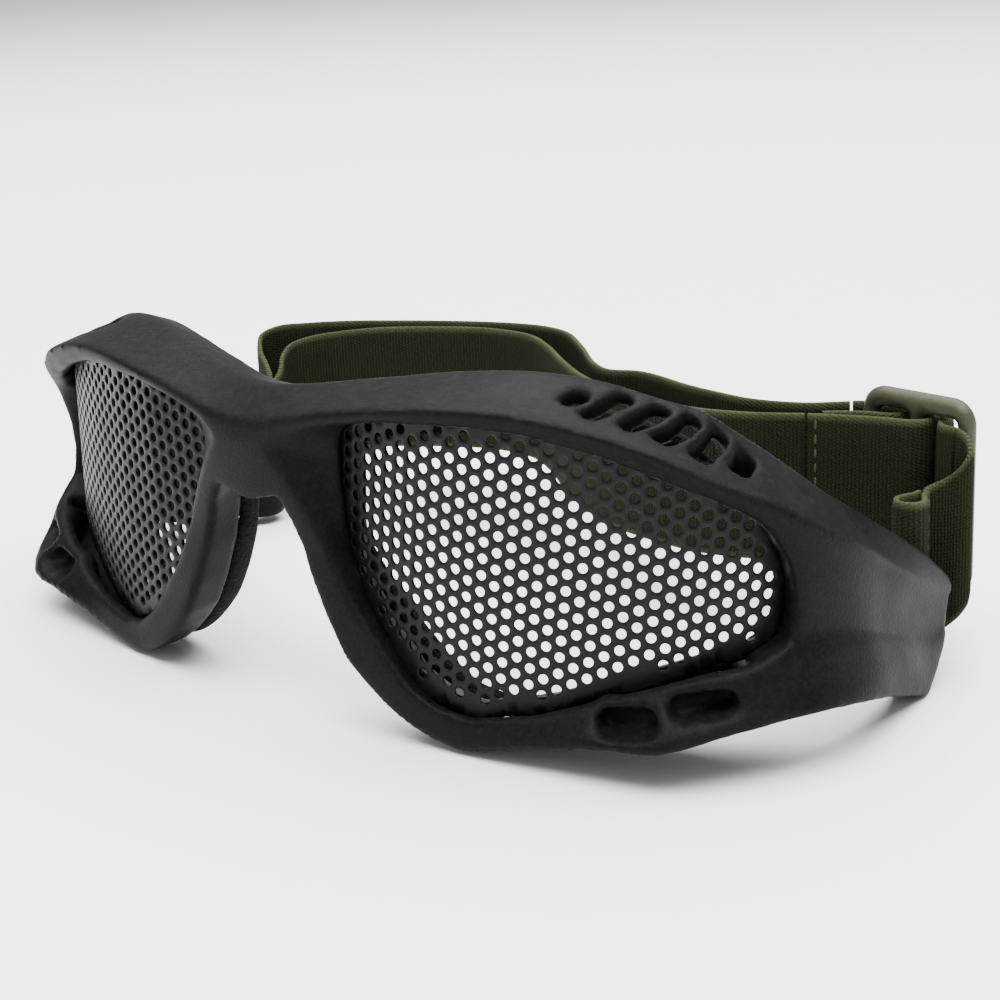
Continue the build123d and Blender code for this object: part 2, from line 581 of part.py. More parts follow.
def parts():
    """Return every node of the goggles by name."""
    mesh = lens_mesh()
    retainer = lens_retainer()
    rod = strap_rod()
    loop = strap_end_loop()
    return {
        "frame_shell": frame_shell(),
        "lens_mesh_right": mesh,
        "lens_mesh_left": mirrored(mesh),
        "lens_retainer_right": retainer,
        "lens_retainer_left": mirrored(retainer),
        "face_foam": face_foam(),
        "strap_rod_right": rod,
        "strap_rod_left": mirrored(rod),
        "strap_loop_right": loop,
        "strap_loop_left": mirrored(loop),
        "strap_front_run": webbing(trimmed_route(route_points(FRONT_RUN_SHARES)), RUN_STEPS),
        "strap_back_run": webbing(trimmed_route(route_points(BACK_RUN_SHARES)), RUN_STEPS),
        "strap_front_lead": webbing(trimmed_route(route_points(FRONT_LEAD_SHARES)), LEAD_STEPS),
        "strap_back_lead": webbing(trimmed_route(route_points(BACK_LEAD_SHARES)), LEAD_STEPS),
        "strap_right_lead": webbing(trimmed_route(route_points(RIGHT_LEAD_SHARES)), LEAD_STEPS),
        "strap_sewn_loop": glide_webbing(SEWN_LOOP_SHARES),
        "strap_bar_wrap": glide_webbing(BAR_WRAP_SHARES),
        "tri_glide": tri_glide(),
    }


os.makedirs("parts", exist_ok=True)
for node, part in parts().items():
    export_step(part, os.path.join("parts", node + ".step"))
    print(node, round(part.volume, 1), len(part.solids()))
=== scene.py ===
import math

import bpy
import numpy as np
from mathutils import Matrix, Vector


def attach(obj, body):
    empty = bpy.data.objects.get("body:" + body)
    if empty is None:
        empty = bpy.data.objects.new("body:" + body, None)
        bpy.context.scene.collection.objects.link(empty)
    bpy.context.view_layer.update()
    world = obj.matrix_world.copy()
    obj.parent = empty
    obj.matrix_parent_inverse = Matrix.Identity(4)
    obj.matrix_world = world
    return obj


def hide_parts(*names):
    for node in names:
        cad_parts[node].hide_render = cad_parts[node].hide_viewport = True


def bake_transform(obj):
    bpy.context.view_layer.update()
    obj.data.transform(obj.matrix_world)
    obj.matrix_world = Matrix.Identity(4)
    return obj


bl_info = {
    "name": "Mesh Safety Goggles",
    "version": (1, 0, 0),
    "blender": (4, 5, 0),
    "location": "3D View > Sidebar > Goggles",
    "description": "Builds mesh safety goggles with a webbing strap round the packed model",
    "category": "Object",
}

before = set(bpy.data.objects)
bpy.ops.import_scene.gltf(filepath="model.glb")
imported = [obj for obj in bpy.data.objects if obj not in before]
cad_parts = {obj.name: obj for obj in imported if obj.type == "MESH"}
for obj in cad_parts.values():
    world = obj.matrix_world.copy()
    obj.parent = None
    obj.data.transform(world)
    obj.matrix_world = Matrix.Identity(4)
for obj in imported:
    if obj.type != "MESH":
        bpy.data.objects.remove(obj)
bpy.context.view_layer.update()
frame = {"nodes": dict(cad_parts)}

# Lengths below are in millimetres. The function put_mesh turns them into metres.
METRE = 0.001

# Plan curve of the frame: face arc, temple arc and straight wing.
FACE_RADIUS = 130.0
FACE_HALF_WIDTH = 66.0
TEMPLE_RADIUS = 29.0
WING_TOE_IN = math.radians(95.0)
FRONT_Y = -54.6
FACE_ANGLE = math.asin(FACE_HALF_WIDTH / FACE_RADIUS)
FACE_LENGTH = FACE_RADIUS * FACE_ANGLE

# Moulded lines of the frame at stations along the curve, as depth and height.
STATIONS = np.array([0, 20, 35, 50, 60, 68, 76, 84, 92, 102, 112, 122, 132.0])
BACK_TOP = [(13, 50), (16, 51.4), (17, 53), (17.6, 53.2), (17.4, 51.8), (16.8, 49.6), (15.8, 48),
            (13.8, 44.6), (12, 40.5), (8.4, 34.5), (4.4, 28), (2.6, 21), (2.4, 14)]
CROWN = [(7, 51.5), (10.6, 53.3), (11.8, 55), (12, 55.3), (11.8, 53.9), (11.6, 51.7), (11.2, 50.2),
         (10.4, 46.8), (9.2, 42.8), (6, 36.5), (2, 29.5), (-1, 22.5), (-2, 14.5)]
CREASE = [(0.4, 47), (0, 50.5), (-0.4, 52), (-1, 51.5), (-2, 49.5), (-2.8, 47), (-3, 43), (-3.4, 39),
          (-3.2, 33.5), (-3, 27.5), (-3, 21.5), (-2.8, 17), (-2.6, 13.5)]
PANEL_TOP = [(0, 44), (0.4, 49), (0.4, 50), (0.2, 49.5), (-0.4, 47.5), (-1, 45), (-1.8, 41),
             (-2.6, 36.5), (-2.4, 31), (-2.2, 25.5), (-2.2, 20), (-2.2, 15.5), (-2.2, 12)]
PANEL_BASE = [(1.4, 27), (1.4, 26), (0, 8.5), (-0.4, 9.5), (-0.8, 13), (-1, 16), (-1.8, 18.5),
              (-2.6, 20.5), (-2.4, 19.5), (-2.2, 16.5), (-2.2, 12.5), (-2.2, 9), (-2.2, 10)]
RIDGE = [(.5, 14), (.5, 12), (-.3, 7), (-1.5, 8.2), (-2, 11.6), (-2.2, 14.5), (-2.8, 17.1), (-3, 18.9),
         (-3.4, 17.9), (-3.4, 14.6), (-3.2, 11.1), (-3, 6.9), (-2.4, 9)]
FOLD = [(.5, 6), (1, 4), (0, 3), (-3.2, 5), (-6.2, 7.6), (-8.2, 8.1), (-6.6, 10.1), (-5, 12.6),
        (-4.6, 13), (-4.4, 11), (-4, 7.5), (-3.2, 3.9), (-2.4, 8.5)]
BASE_FRONT = [(2.4, 0), (2.4, 0), (.6, 0), (-3.6, 3.9), (-6.8, 6), (-8.8, 6.5), (-7.4, 8.6), (-6.4, 9.5),
              (-6, 9.1), (-4.8, 6.4), (-4, 2.7), (-3, 0), (-2.2, 8)]
BASE_BACK = [(8, 0), (8, 0), (7.6, 1), (8.6, 2), (9, 3.5), (9, 4.5), (9, 6), (7.2, 8),
             (5, 8), (3.6, 5.5), (2.8, 2.5), (2.6, 0), (2.4, 8)]
BACK_MID = [(9, 42), (10, 43), (13.2, 44), (16, 44), (16, 43), (15.6, 41), (14.2, 39), (10.4, 36),
            (6.8, 32), (4.2, 26.5), (2.8, 21), (2.6, 16.5), (2.4, 11)]
OUTER_LINES = (BACK_TOP, CROWN, CREASE, PANEL_TOP, PANEL_BASE, RIDGE, FOLD, BASE_FRONT, BASE_BACK,
               BACK_MID)
# The hollow behind the frame follows these lines, one wall further in, between two places.
CAVITY_LINES = (BACK_TOP, CROWN, PANEL_TOP, PANEL_BASE, BASE_FRONT, BASE_BACK)
FRAME_WALL = 2.4
CAVITY_SPAN = (35.0, 80.0)
OVERRUN = 30.0

# Rear end of the wing, and the outline of the nose notch, as places along the curve and heights.
WING_CUT_DEPTH = 2.25
WING_END = [(129.8, 34), (129.8, 15), (128.4, 9.2), (126, 5.1), (121, 1.2), (116, -3), (150, -3), (150, 34)]
NOTCH = [(0, 33.5), (6.2, 35), (8.5, 31), (11.2, 24.5), (14.4, 17.5), (17.7, 12), (21.1, 8.5),
         (24.5, 5.5), (28, 3.2), (32, 1.4), (37, .4), (43, -.5), (46, -6)]
NOTCH_FLARE = 0.05
NOTCH_RISE = 0.45
NOTCH_STRETCH = (24.5, 31.0)
NOTCH_REACH = 60.0

# Lens opening: its edge at the front, its edge at the lens, and the seat behind it.
OPENING_EDGE = [(4.9, 43.7), (8.8, 46.6), (13, 47.8), (20.8, 48.7), (27.6, 49.6), (40.4, 49.8),
                (49, 49.1), (60, 46.7), (68.4, 43.7), (74.4, 41.2), (79.5, 38.6), (82.9, 35.2), (85.4, 30),
                (86.2, 24.5), (84.9, 19.5), (80.3, 17.3), (73.2, 15.9), (66.5, 13.9), (58.3, 11.1),
                (49.8, 8.1), (39.2, 6.2), (33.7, 7.6), (29.7, 10), (24, 16), (18.9, 22), (14.7, 29.2),
                (8.8, 38.2)]
LENS_EDGE = [(16.5, 44.6), (17.4, 46.3), (18.8, 47.3), (20.8, 47.8), (27.6, 48.9), (40.4, 49.2),
             (49, 48.5), (60, 46), (68.4, 43), (74.4, 40.6), (81.6, 37), (85.2, 32.2), (86.6, 28.2),
             (86.9, 24.5), (85.6, 19.2), (80.3, 16.9), (73.2, 15), (66.5, 12.9), (57.5, 10.2),
             (48.6, 7.4), (39.2, 5.6), (33, 6.2), (29.8, 8.2), (24.8, 14), (20.1, 20.6), (16.9, 29)]
LENS_DEPTH = [(0, 10), (4.9, 9), (14.7, 6.6), (20, 5.4), (30, 3.5), (40, 2.7), (50, 2.6), (90, 2.4),
              (140, 2.4)]
LENS_MID_PLACE = 50.0
LENS_MID_HEIGHT = 29.0
LENS_LEAN = 0.03
LENS_THICKNESS = 0.9
LENS_MARGIN = 1.5
SEAT_CLEARANCE = 0.2
# The seat goes straight back near the nose, and square to the frame from SEAT_STRAIGHT_END on.
# Its rows hold a place, a lower and an upper height.
SEAT_STRAIGHT_END = 62.0
SEAT_STRAIGHT_FADE = 20.0
SEAT_ROWS = [(15, 29, 47.6), (15.5, 27.5, 47.6), (20.2, 20.5, 48.25), (24, 16, 48.75), (29.7, 10, 49.25),
             (33.7, 7.8, 49.6), (39.2, 6.5, 49.85), (49.8, 8.6, 49.15), (58.3, 11.5, 47.4), (66.5, 14, 45),
             (73.4, 16.2, 42.1), (80.4, 17.6, 38.1), (83.4, 19, 35.25), (85.6, 21, 30),
             (86.8, 24.25, 25)]
# The lattice of holes, and how the cells at the lens's edge are drawn in to it.
HOLE_RADIUS = 0.75
HOLE_ROLL = 0.1
HOLE_PITCH = 2.5
HOLE_TURN = math.radians(-6.2)
HOLE_EDGE = 1.0
HOLE_SIDES = 18
HOLE_COLUMNS = 24
HOLE_ROWS = 26
HOLE_SINK_SHARE = 0.8
CELL_OVERLAP = 0.4
DRAWING_PASSES = 3
NUDGE = 0.05

# Brow slots, as place, depth and share of the length, crown dimples, as place, depth and height,
# and lower vents, as place and height.
SLOT_PLACES = [(55.0, 7.2, .45), (60.0, 7.0, 1), (65.4, 6.6, 1), (70.7, 6.2, 1), (76.0, 5.4, 1),
               (81.0, 4.4, .72)]
SLOT_LENGTH = 8.8
SLOT_WIDTH = 2.6
SLOT_CORNER = 0.5
SLOT_SKEW = math.radians(34)
SLOT_FLOOR = 40.0
SLOT_REAR_PLACE = 72.0
SLOT_REAR_FLOOR = 32.0
DIMPLES = [(92.9, 3.7, 38.2), (103.8, 1.8, 31.55)]
DIMPLE_RADIUS = 2.3
DIMPLE_DEPTH = 0.9
VENTS = [(63.6, 9.4), (73.4, 12.2)]
VENT_LENGTH = 8.6
VENT_HEIGHT = 3.1
VENT_TILT = math.radians(8)
VENT_REACH = 6.0
VENT_WALL = 1.5

# Keyway boss and strap rods.
ROD_PLACE = 127.0
ROD_DEPTH = 3.8
LOOP_BOTTOM = 3.6
KEYWAY_BORE = 3.15
KEYWAY_OUTER = 4.85
KEYWAY_TOP = 14.6
KEYWAY_FLOOR = 3.3
KEYWAY_BASE = 1.7
KEYWAY_MOUTH = 2.05
KEYWAY_START = 0.8
KEYWAY_WEB_CENTRE = (-1.2, 1.5)
KEYWAY_WEB_HALF = (3.2, 2.5)

# Face foam.
FOAM_GAP = 0.3
FOAM_THICKNESS = 5.0
FOAM_DROP = 3.2
FOAM_SLOPE = 1.8
FOAM_INSET = 1.0
FOAM_NOTCH = -0.3
FOAM_OPENING = 1.0
FOAM_BORDER = 6.0
FOAM_END = 93.0
FOAM_WAVE = 0.12
FOAM_WAVE_STEPS = (5.1, 6.3, 4.7, 3.1)

# Webbing: its section, how finely its routes are divided, and where its leads begin.
WEB_WIDTH = 25.0
WEB_THICKNESS = 1.3
WEB_EDGE_THINNING = 0.45
WEB_SECTION_POINTS = 15
RUN_SPACING = 0.7
LEAD_SPACING = 0.5
BEND_SPACING = 0.35
FRONT_SPLIT_SHARE = 0.38
BACK_SPLIT_SHARE = 0.42
CURVE_POINTS = 40
CORNER_PASSES = 5

# Stitches. The sewn end's seam and the way it looks are in shares of the buckle's width, and the
# hems' seams are this far from their rods.
STITCHES = 10
STITCH_LENGTH = 1.7
STITCH_RADIUS = 0.22
STITCH_SIDES = 6
SEWN_SEAM = (-.603, -.449)
SEWN_FACE = (.24, -.44)
HEM_SEAM = 3.9

# Routes of the webbing at its lower edge: shares of the rod's distance from the middle, of the
# reach from the rods to the back of the strap, and of its rise. The sewn end and the wrap are in
# shares of the buckle's width from its middle, and the hems in millimetres from their rods.
ROD_TO_BACK = 38.4
STRAP_RISE = 9.4
FRONT_ROUTE = [(-.988, .13, 0), (-.990, .165, .06), (-1.000, .215, .2), (-1.017, .265, .42),
               (-1.016, .33, .62), (-.975, .41, .76), (-.90, .485, .87), (-.79, .58, .97), (-.62, .74, 1),
               (-.50, .82, 1), (-.36, .80, 1), (-.24, .66, 1), (-.10, .44, 1), (.04, .24, 1),
               (.20, .08, 1), (.38, 0, 1), (.48, -.01, 1), (.60, .045, 1), (.70, .14, 1)]
BACK_ROUTE = [(-1.005, .13, 0), (-1.011, .155, .07), (-1.045, .195, .26), (-1.095, .245, .52),
              (-1.124, .315, .76), (-1.10, .39, .90), (-1.03, .475, .96), (-.92, .60, 1), (-.70, .83, 1),
              (-.56, .94, 1), (-.41, 1, 1), (-.30, .95, 1), (-.15, .72, 1), (0, .45, 1), (.07, .38, 1),
              (.15, .42, 1), (.33, .31, 1), (.42, .27, 1), (.53, .24, 1), (.65, .295, 1), (.73, .411, 1)]
RIGHT_ROUTE = [(.9965, .13, 0), (.999, .155, .05), (1.03, .184, .2), (1.062, .198, .45),
               (1.074, .222, .7), (1.06, .243, .9), (1.035, .2515, 1)]
SEWN_LOOP = [(-.66, -.48), (-.22, -.24), (.125, -.15), (.125, .125), (-.125, .125), (-.135, -.09),
             (-.40, -.165), (-.62, -.36)]
BAR_WRAP = [(-.64, .03), (-.47, .155), (-.16, .21), (.20, .205), (.225, -.11), (.42, -.14)]
LOOP_ROUTE = [(4.85, -.66), (3.3, -.68), (1.68, -1.68), (0, -2.38), (-1.68, -1.68), (-2.38, 0),
              (-1.68, 1.68), (0, 2.38), (1.68, 1.68), (3.3, .68), (4.85, .66)]

# Tri-glide buckle.
GLIDE_WIDTH = 21.5
GLIDE_HEIGHT = 32.6
GLIDE_SLOT_HEIGHT = 25.8
GLIDE_SLOT_WIDTH = 6.35
GLIDE_BAR = 2.8
GLIDE_THICKNESS = 3.2
GLIDE_CORNER = 4.2
GLIDE_SLOT_CORNER = 0.8
GLIDE_ROUNDING = 1.4
GLIDE_EDGE_DROP = 1.2
GLIDE_TURN = math.radians(-8)
GLIDE_X_SHARE = .915
GLIDE_Y_SHARE = .36

# Grids that the fields are sampled on: first and last depth, first and last height, and half length.
GRID_STEP = 0.66
FRAME_GRID = (-11, 20, -1.4, 57.5, 134)
FOAM_STEP = 0.75
FOAM_GRID = (0.5, 27, -1.4, 56, 96)
GLIDE_STEP = 0.36

# Colours of settled dust and of worn webbing.
DUST_COLOUR = (0.16, 0.155, 0.15, 1)
WORN_WEBBING = (0.012, 0.015, 0.006, 1)

# Soft square lights: place, target, width and depth in metres, and watts.
LIGHTS = {"Top softbox": ((0, 0.1, 1.5), (0, 0, 0), (2.4, 2.4), 160),
          "Key softbox": ((0.25, -0.3, 0.9), (0, -0.02, 0.03), (0.5, 0.4), 5)}
WORLD_STRENGTH = 0.7
FLOOR_POINTS = 9

# The photograph's viewpoint, in millimetres and as directions.
CAMERA_PLACE = (214.3, -241.81, 118.13)
CAMERA_RIGHT = (0.7628, 0.6451, -0.0440)
CAMERA_UP = (-0.1553, 0.2488, 0.9560)
CAMERA_BACK = (0.6277, -0.7225, 0.2900)
CAMERA_LENS = 70.2


def plan_curve(wrap):
    """Places and headings along the plan curve.

    The face is an arc about a far centre, the temple a tight arc that starts in line with it,
    and the wing a straight line in the direction in which the temple arc ends.
    """
    wrap = np.asarray(wrap, float)
    temple_length = TEMPLE_RADIUS * (WING_TOE_IN - FACE_ANGLE)
    centre_x = FACE_HALF_WIDTH - TEMPLE_RADIUS * math.sin(FACE_ANGLE)
    centre_y = FRONT_Y + FACE_RADIUS - (FACE_RADIUS - TEMPLE_RADIUS) * math.cos(FACE_ANGLE)
    face = np.clip(wrap, None, FACE_LENGTH) / FACE_RADIUS
    bend = np.clip(wrap - FACE_LENGTH, 0, temple_length) / TEMPLE_RADIUS
    straight = np.clip(wrap - FACE_LENGTH - temple_length, 0, None)
    heading = face + bend
    on_face = wrap <= FACE_LENGTH
    x = np.where(on_face, FACE_RADIUS * np.sin(face), centre_x + TEMPLE_RADIUS * np.sin(heading))
    y = np.where(on_face, FRONT_Y + FACE_RADIUS * (1 - np.cos(face)),
                 centre_y - TEMPLE_RADIUS * np.cos(heading))
    return x + straight * np.cos(heading), y + straight * np.sin(heading), heading


def wrap_points(wrap, depth, height):
    """Points at places along the curve, depths inwards from it and heights.

    A place left of the middle is the mirror image of the same place on the right.
    """
    x, y, heading = plan_curve(np.abs(wrap))
    x = (x - depth * np.sin(heading)) * np.where(np.asarray(wrap) < 0, -1, 1)
    return np.stack([x, y + depth * np.cos(heading), height + 0 * x], axis=-1)


def smooth_rows(stations, values, at):
    """Smooth curve through table rows.

    Each stretch is a cubic whose slope at a row is that of the line between its neighbours.
    """
    stations = np.asarray(stations, float)
    values = np.asarray(values, float)
    gaps = np.diff(stations)
    rises = np.diff(values, axis=0) / gaps[:, None]
    slopes = np.zeros_like(values)
    weight = gaps[1:, None] / (gaps[1:, None] + gaps[:-1, None])
    slopes[1:-1] = rises[:-1] * weight + rises[1:] * (1 - weight)
    slopes[-1] = rises[-1]
    index = np.clip(np.searchsorted(stations, at) - 1, 0, len(gaps) - 1)
    gap = gaps[index][:, None]
    t = np.clip((at - stations[index])[:, None] / gap, 0, 1)
    low, high = values[index], values[index + 1]
    low_slope, high_slope = slopes[index] * gap, slopes[index + 1] * gap
    return ((2 * t ** 3 - 3 * t ** 2 + 1) * low + (t ** 3 - 2 * t ** 2 + t) * low_slope
            + (3 * t ** 2 - 2 * t ** 3) * high + (t ** 3 - t ** 2) * high_slope)


def turned(across, up, angle):
    """Two directions' places, turned by an angle from the first to the second."""
    return across * math.cos(angle) - up * math.sin(angle), across * math.sin(angle) + up * math.cos(angle)


def rounded_box(across, up, half_width, half_height, corner):
    """Distance to a rectangle with rounded corners."""
    over_a, over_u = np.abs(across) - half_width + corner, np.abs(up) - half_height + corner
    outside = np.hypot(np.maximum(over_a, 0), np.maximum(over_u, 0))
    return outside + np.minimum(np.maximum(over_a, over_u), 0) - corner


def polygon_distance(across, up, corners):
    """Signed distance to a closed polygon, below zero inside it.

    It is the distance to the nearest point of any edge. Its sign turns once for each edge that
    a level line from the point crosses.
    """
    best = np.full(np.broadcast(across, up).shape, np.inf)
    sign = np.ones(best.shape)
    for start, end in zip(corners, corners[1:] + corners[:1]):
        run_a, run_u = end[0] - start[0], end[1] - start[1]
        from_a, from_u = across - start[0], up - start[1]
        length = run_a * run_a + run_u * run_u + 1e-12
        share = np.clip((from_a * run_a + from_u * run_u) / length, 0, 1)
        best = np.minimum(best, (from_a - run_a * share) ** 2 + (from_u - run_u * share) ** 2)
        starts_below, ends_above = up >= start[1], up < end[1]
        left = run_a * from_u > run_u * from_a
        turn = (starts_below & ends_above & left) | ~(starts_below | ends_above | left)
        sign = np.where(turn, -sign, sign)
    return sign * np.sqrt(best)


def softened(field, passes):
    """Round a distance field's edges: each pass averages each value with its neighbours."""
    for _ in range(passes):
        for axis in range(3):
            padded = np.pad(field, [(1, 1) if a == axis else (0, 0) for a in range(3)], mode="edge")
            low = np.take(padded, range(0, field.shape[axis]), axis)
            high = np.take(padded, range(2, field.shape[axis] + 2), axis)
            field = field / 2 + (low + high) / 4
    return field


def cell_crossings(field):
    """Middle of the places where the surface crosses each cell's edges, and how many there are."""
    shape = np.array(field.shape) - 1
    total = np.zeros(tuple(shape) + (3,))
    count = np.zeros(tuple(shape))
    base = np.stack(np.meshgrid(*[np.arange(n) for n in shape], indexing="ij"), axis=-1)
    for axis in range(3):
        others = [a for a in range(3) if a != axis]
        low = np.take(field, range(0, shape[axis]), axis)
        high = np.take(field, range(1, shape[axis] + 1), axis)
        crosses = (low < 0) != (high < 0)
        share = np.where(crosses, low / np.where(crosses, low - high, 1), 0)
        for first in (0, 1):
            for second in (0, 1):
                window = [slice(None)] * 3
                window[others[0]] = slice(first, first + shape[others[0]])
                window[others[1]] = slice(second, second + shape[others[1]])
                here = crosses[tuple(window)]
                place = base.astype(float)
                place[..., axis] += share[tuple(window)]
                place[..., others[0]] += first
                place[..., others[1]] += second
                total += place * here[..., None]
                count += here
    return total, count


def surface_net(field):
    """Closed quad surface where a field crosses zero, in grid steps, outside where it is above.

    Every cell that the surface crosses gets one point, the middle of its edge crossings, and
    every crossed edge gets one quad, between the four cells round it.
    """
    total, count = cell_crossings(field)
    used = count > 0
    numbers = np.full(count.shape, -1)
    numbers[used] = np.arange(used.sum())
    points = total[used] / count[used][:, None]
    quads = []
    orders = {0: [(0, -1, -1), (0, 0, -1), (0, 0, 0), (0, -1, 0)],
              1: [(-1, 0, -1), (-1, 0, 0), (0, 0, 0), (0, 0, -1)],
              2: [(-1, -1, 0), (0, -1, 0), (0, 0, 0), (-1, 0, 0)]}
    for axis in range(3):
        low = np.take(field, range(0, field.shape[axis] - 1), axis) < 0
        high = np.take(field, range(1, field.shape[axis]), axis) < 0
        for inside, order in ((low & ~high, orders[axis]), (high & ~low, orders[axis][::-1])):
            edges = np.argwhere(inside)
            corners = [numbers[tuple((edges + np.array(step)).T)] for step in order]
            quads.append(np.stack(corners, axis=1))
    return points, np.concatenate(quads)


def relaxed(points, quads, passes):
    """Even a surface out: each pass moves each point half way to the middle of its neighbours."""
    starts = np.concatenate([quads[:, k] for k in range(4)] + [quads[:, (k + 1) % 4] for k in range(4)])
    ends = np.concatenate([quads[:, (k + 1) % 4] for k in range(4)] + [quads[:, k] for k in range(4)])
    amount = np.bincount(starts, minlength=len(points))[:, None]
    for _ in range(passes):
        sums = np.stack([np.bincount(starts, points[ends, k], len(points)) for k in range(3)], axis=1)
        points = points / 2 + sums / amount / 2
    return points


def put_mesh(name, points, faces, material, sheet=None):
    """Make an object from points in millimetres and faces, with an optional place map."""
    mesh = bpy.data.meshes.new(name)
    mesh.from_pydata((np.asarray(points) * METRE).tolist(), [], [list(map(int, f)) for f in faces])
    mesh.polygons.foreach_set("use_smooth", [True] * len(mesh.polygons))
    if sheet is not None:
        corners = np.zeros(len(mesh.loops), int)
        mesh.loops.foreach_get("vertex_index", corners)
        layer = mesh.uv_layers.new(name="Webbing")
        layer.data.foreach_set("uv", np.asarray(sheet)[corners].ravel())
    mesh.validate()
    mesh.update()
    made = bpy.data.objects.new(name, mesh)
    bpy.context.scene.collection.objects.link(made)
    mesh.materials.append(material)
    return made


def lens_depth(wrap):
    """Depth of the lens's front face behind the plan curve."""
    table = np.array(LENS_DEPTH, float)
    return np.interp(np.abs(wrap), table[:, 0], table[:, 1])


def frame_grid(first_depth, last_depth, first_height, last_height, half_length, step):
    """Places, depths and heights of a grid along the right half of the frame."""
    wrap = np.arange(0, half_length + step, step)
    depth = np.arange(first_depth, last_depth + step, step)
    height = np.arange(first_height, last_height + step, step)
    return wrap, depth, height


def section_distance(wrap, depth, height, lines):
    """Distance to the frame's section, whose corners slide smoothly from station to station."""
    corners = [smooth_rows(STATIONS, line, wrap) for line in lines]
    corners = [(c[:, 0][:, None, None], c[:, 1][:, None, None]) for c in corners]
    return polygon_distance(depth[None, :, None], height[None, None, :], corners)


def inset_corners(corners, wall):
    """Move an open chain of corners inwards by a wall, keeping its edges' directions."""
    chain = np.array(corners, float)
    runs = np.diff(chain, axis=0)
    lengths = np.hypot(runs[:, 0], runs[:, 1])[:, None]
    normals = np.stack([-runs[:, 1], runs[:, 0]], axis=1) / lengths
    starts = chain[:-1] + normals * wall
    inner = [starts[0]]
    for a, b, run_a, run_b in zip(starts, starts[1:], runs, runs[1:]):
        cross = run_a[0] * run_b[1] - run_a[1] * run_b[0]
        along = ((b[0] - a[0]) * run_b[1] - (b[1] - a[1]) * run_b[0]) / cross if cross else 1.0
        inner.append(a + run_a * along)
    inner.append(chain[-1] + normals[-1] * wall)
    return inner


def cavity_distance(wrap, depth, height):
    """Distance to the hollow behind the frame: its section moved inwards, open to the back."""
    table = []
    for index in range(len(STATIONS)):
        inner = inset_corners([line[index] for line in CAVITY_LINES], FRAME_WALL)
        top = inner[0] + np.array([OVERRUN, 0])
        base = inner[-1] + np.array([OVERRUN, 0])
        table.append([top] + inner + [base])
    table = np.array(table)
    lines = [table[:, k, :] for k in range(table.shape[1])]
    hollow = section_distance(wrap, depth, height, lines)
    ends = np.maximum(CAVITY_SPAN[0] - wrap, wrap - CAVITY_SPAN[1])[:, None, None]
    return np.maximum(hollow, ends)


def opening_distance(wrap, depth, height):
    """Distance to the cut in front of the lens.

    Its outline changes in step with depth from the edge at the front to the edge at the lens.
    """
    across, up = wrap[:, None], height[None, :]
    at_front = polygon_distance(across, up, OPENING_EDGE)[:, None, :]
    at_lens = polygon_distance(across, up, LENS_EDGE)[:, None, :]
    crease = smooth_rows(STATIONS, CREASE, wrap)[:, 0]
    front = np.minimum(crease, 0)[:, None, None]
    back = lens_depth(wrap)[:, None, None]
    share = np.clip((depth[None, :, None] - front) / (back - front), 0, 1)
    cut = at_front * (1 - share) + at_lens * share
    return np.maximum(cut, depth[None, :, None] - back - LENS_THICKNESS)


def seat_outline():
    """The lens's own outline in places and heights, without its margin."""
    low = [(wrap, low) for wrap, low, _ in SEAT_ROWS]
    high = [(wrap, high) for wrap, _, high in reversed(SEAT_ROWS)]
    return low + high


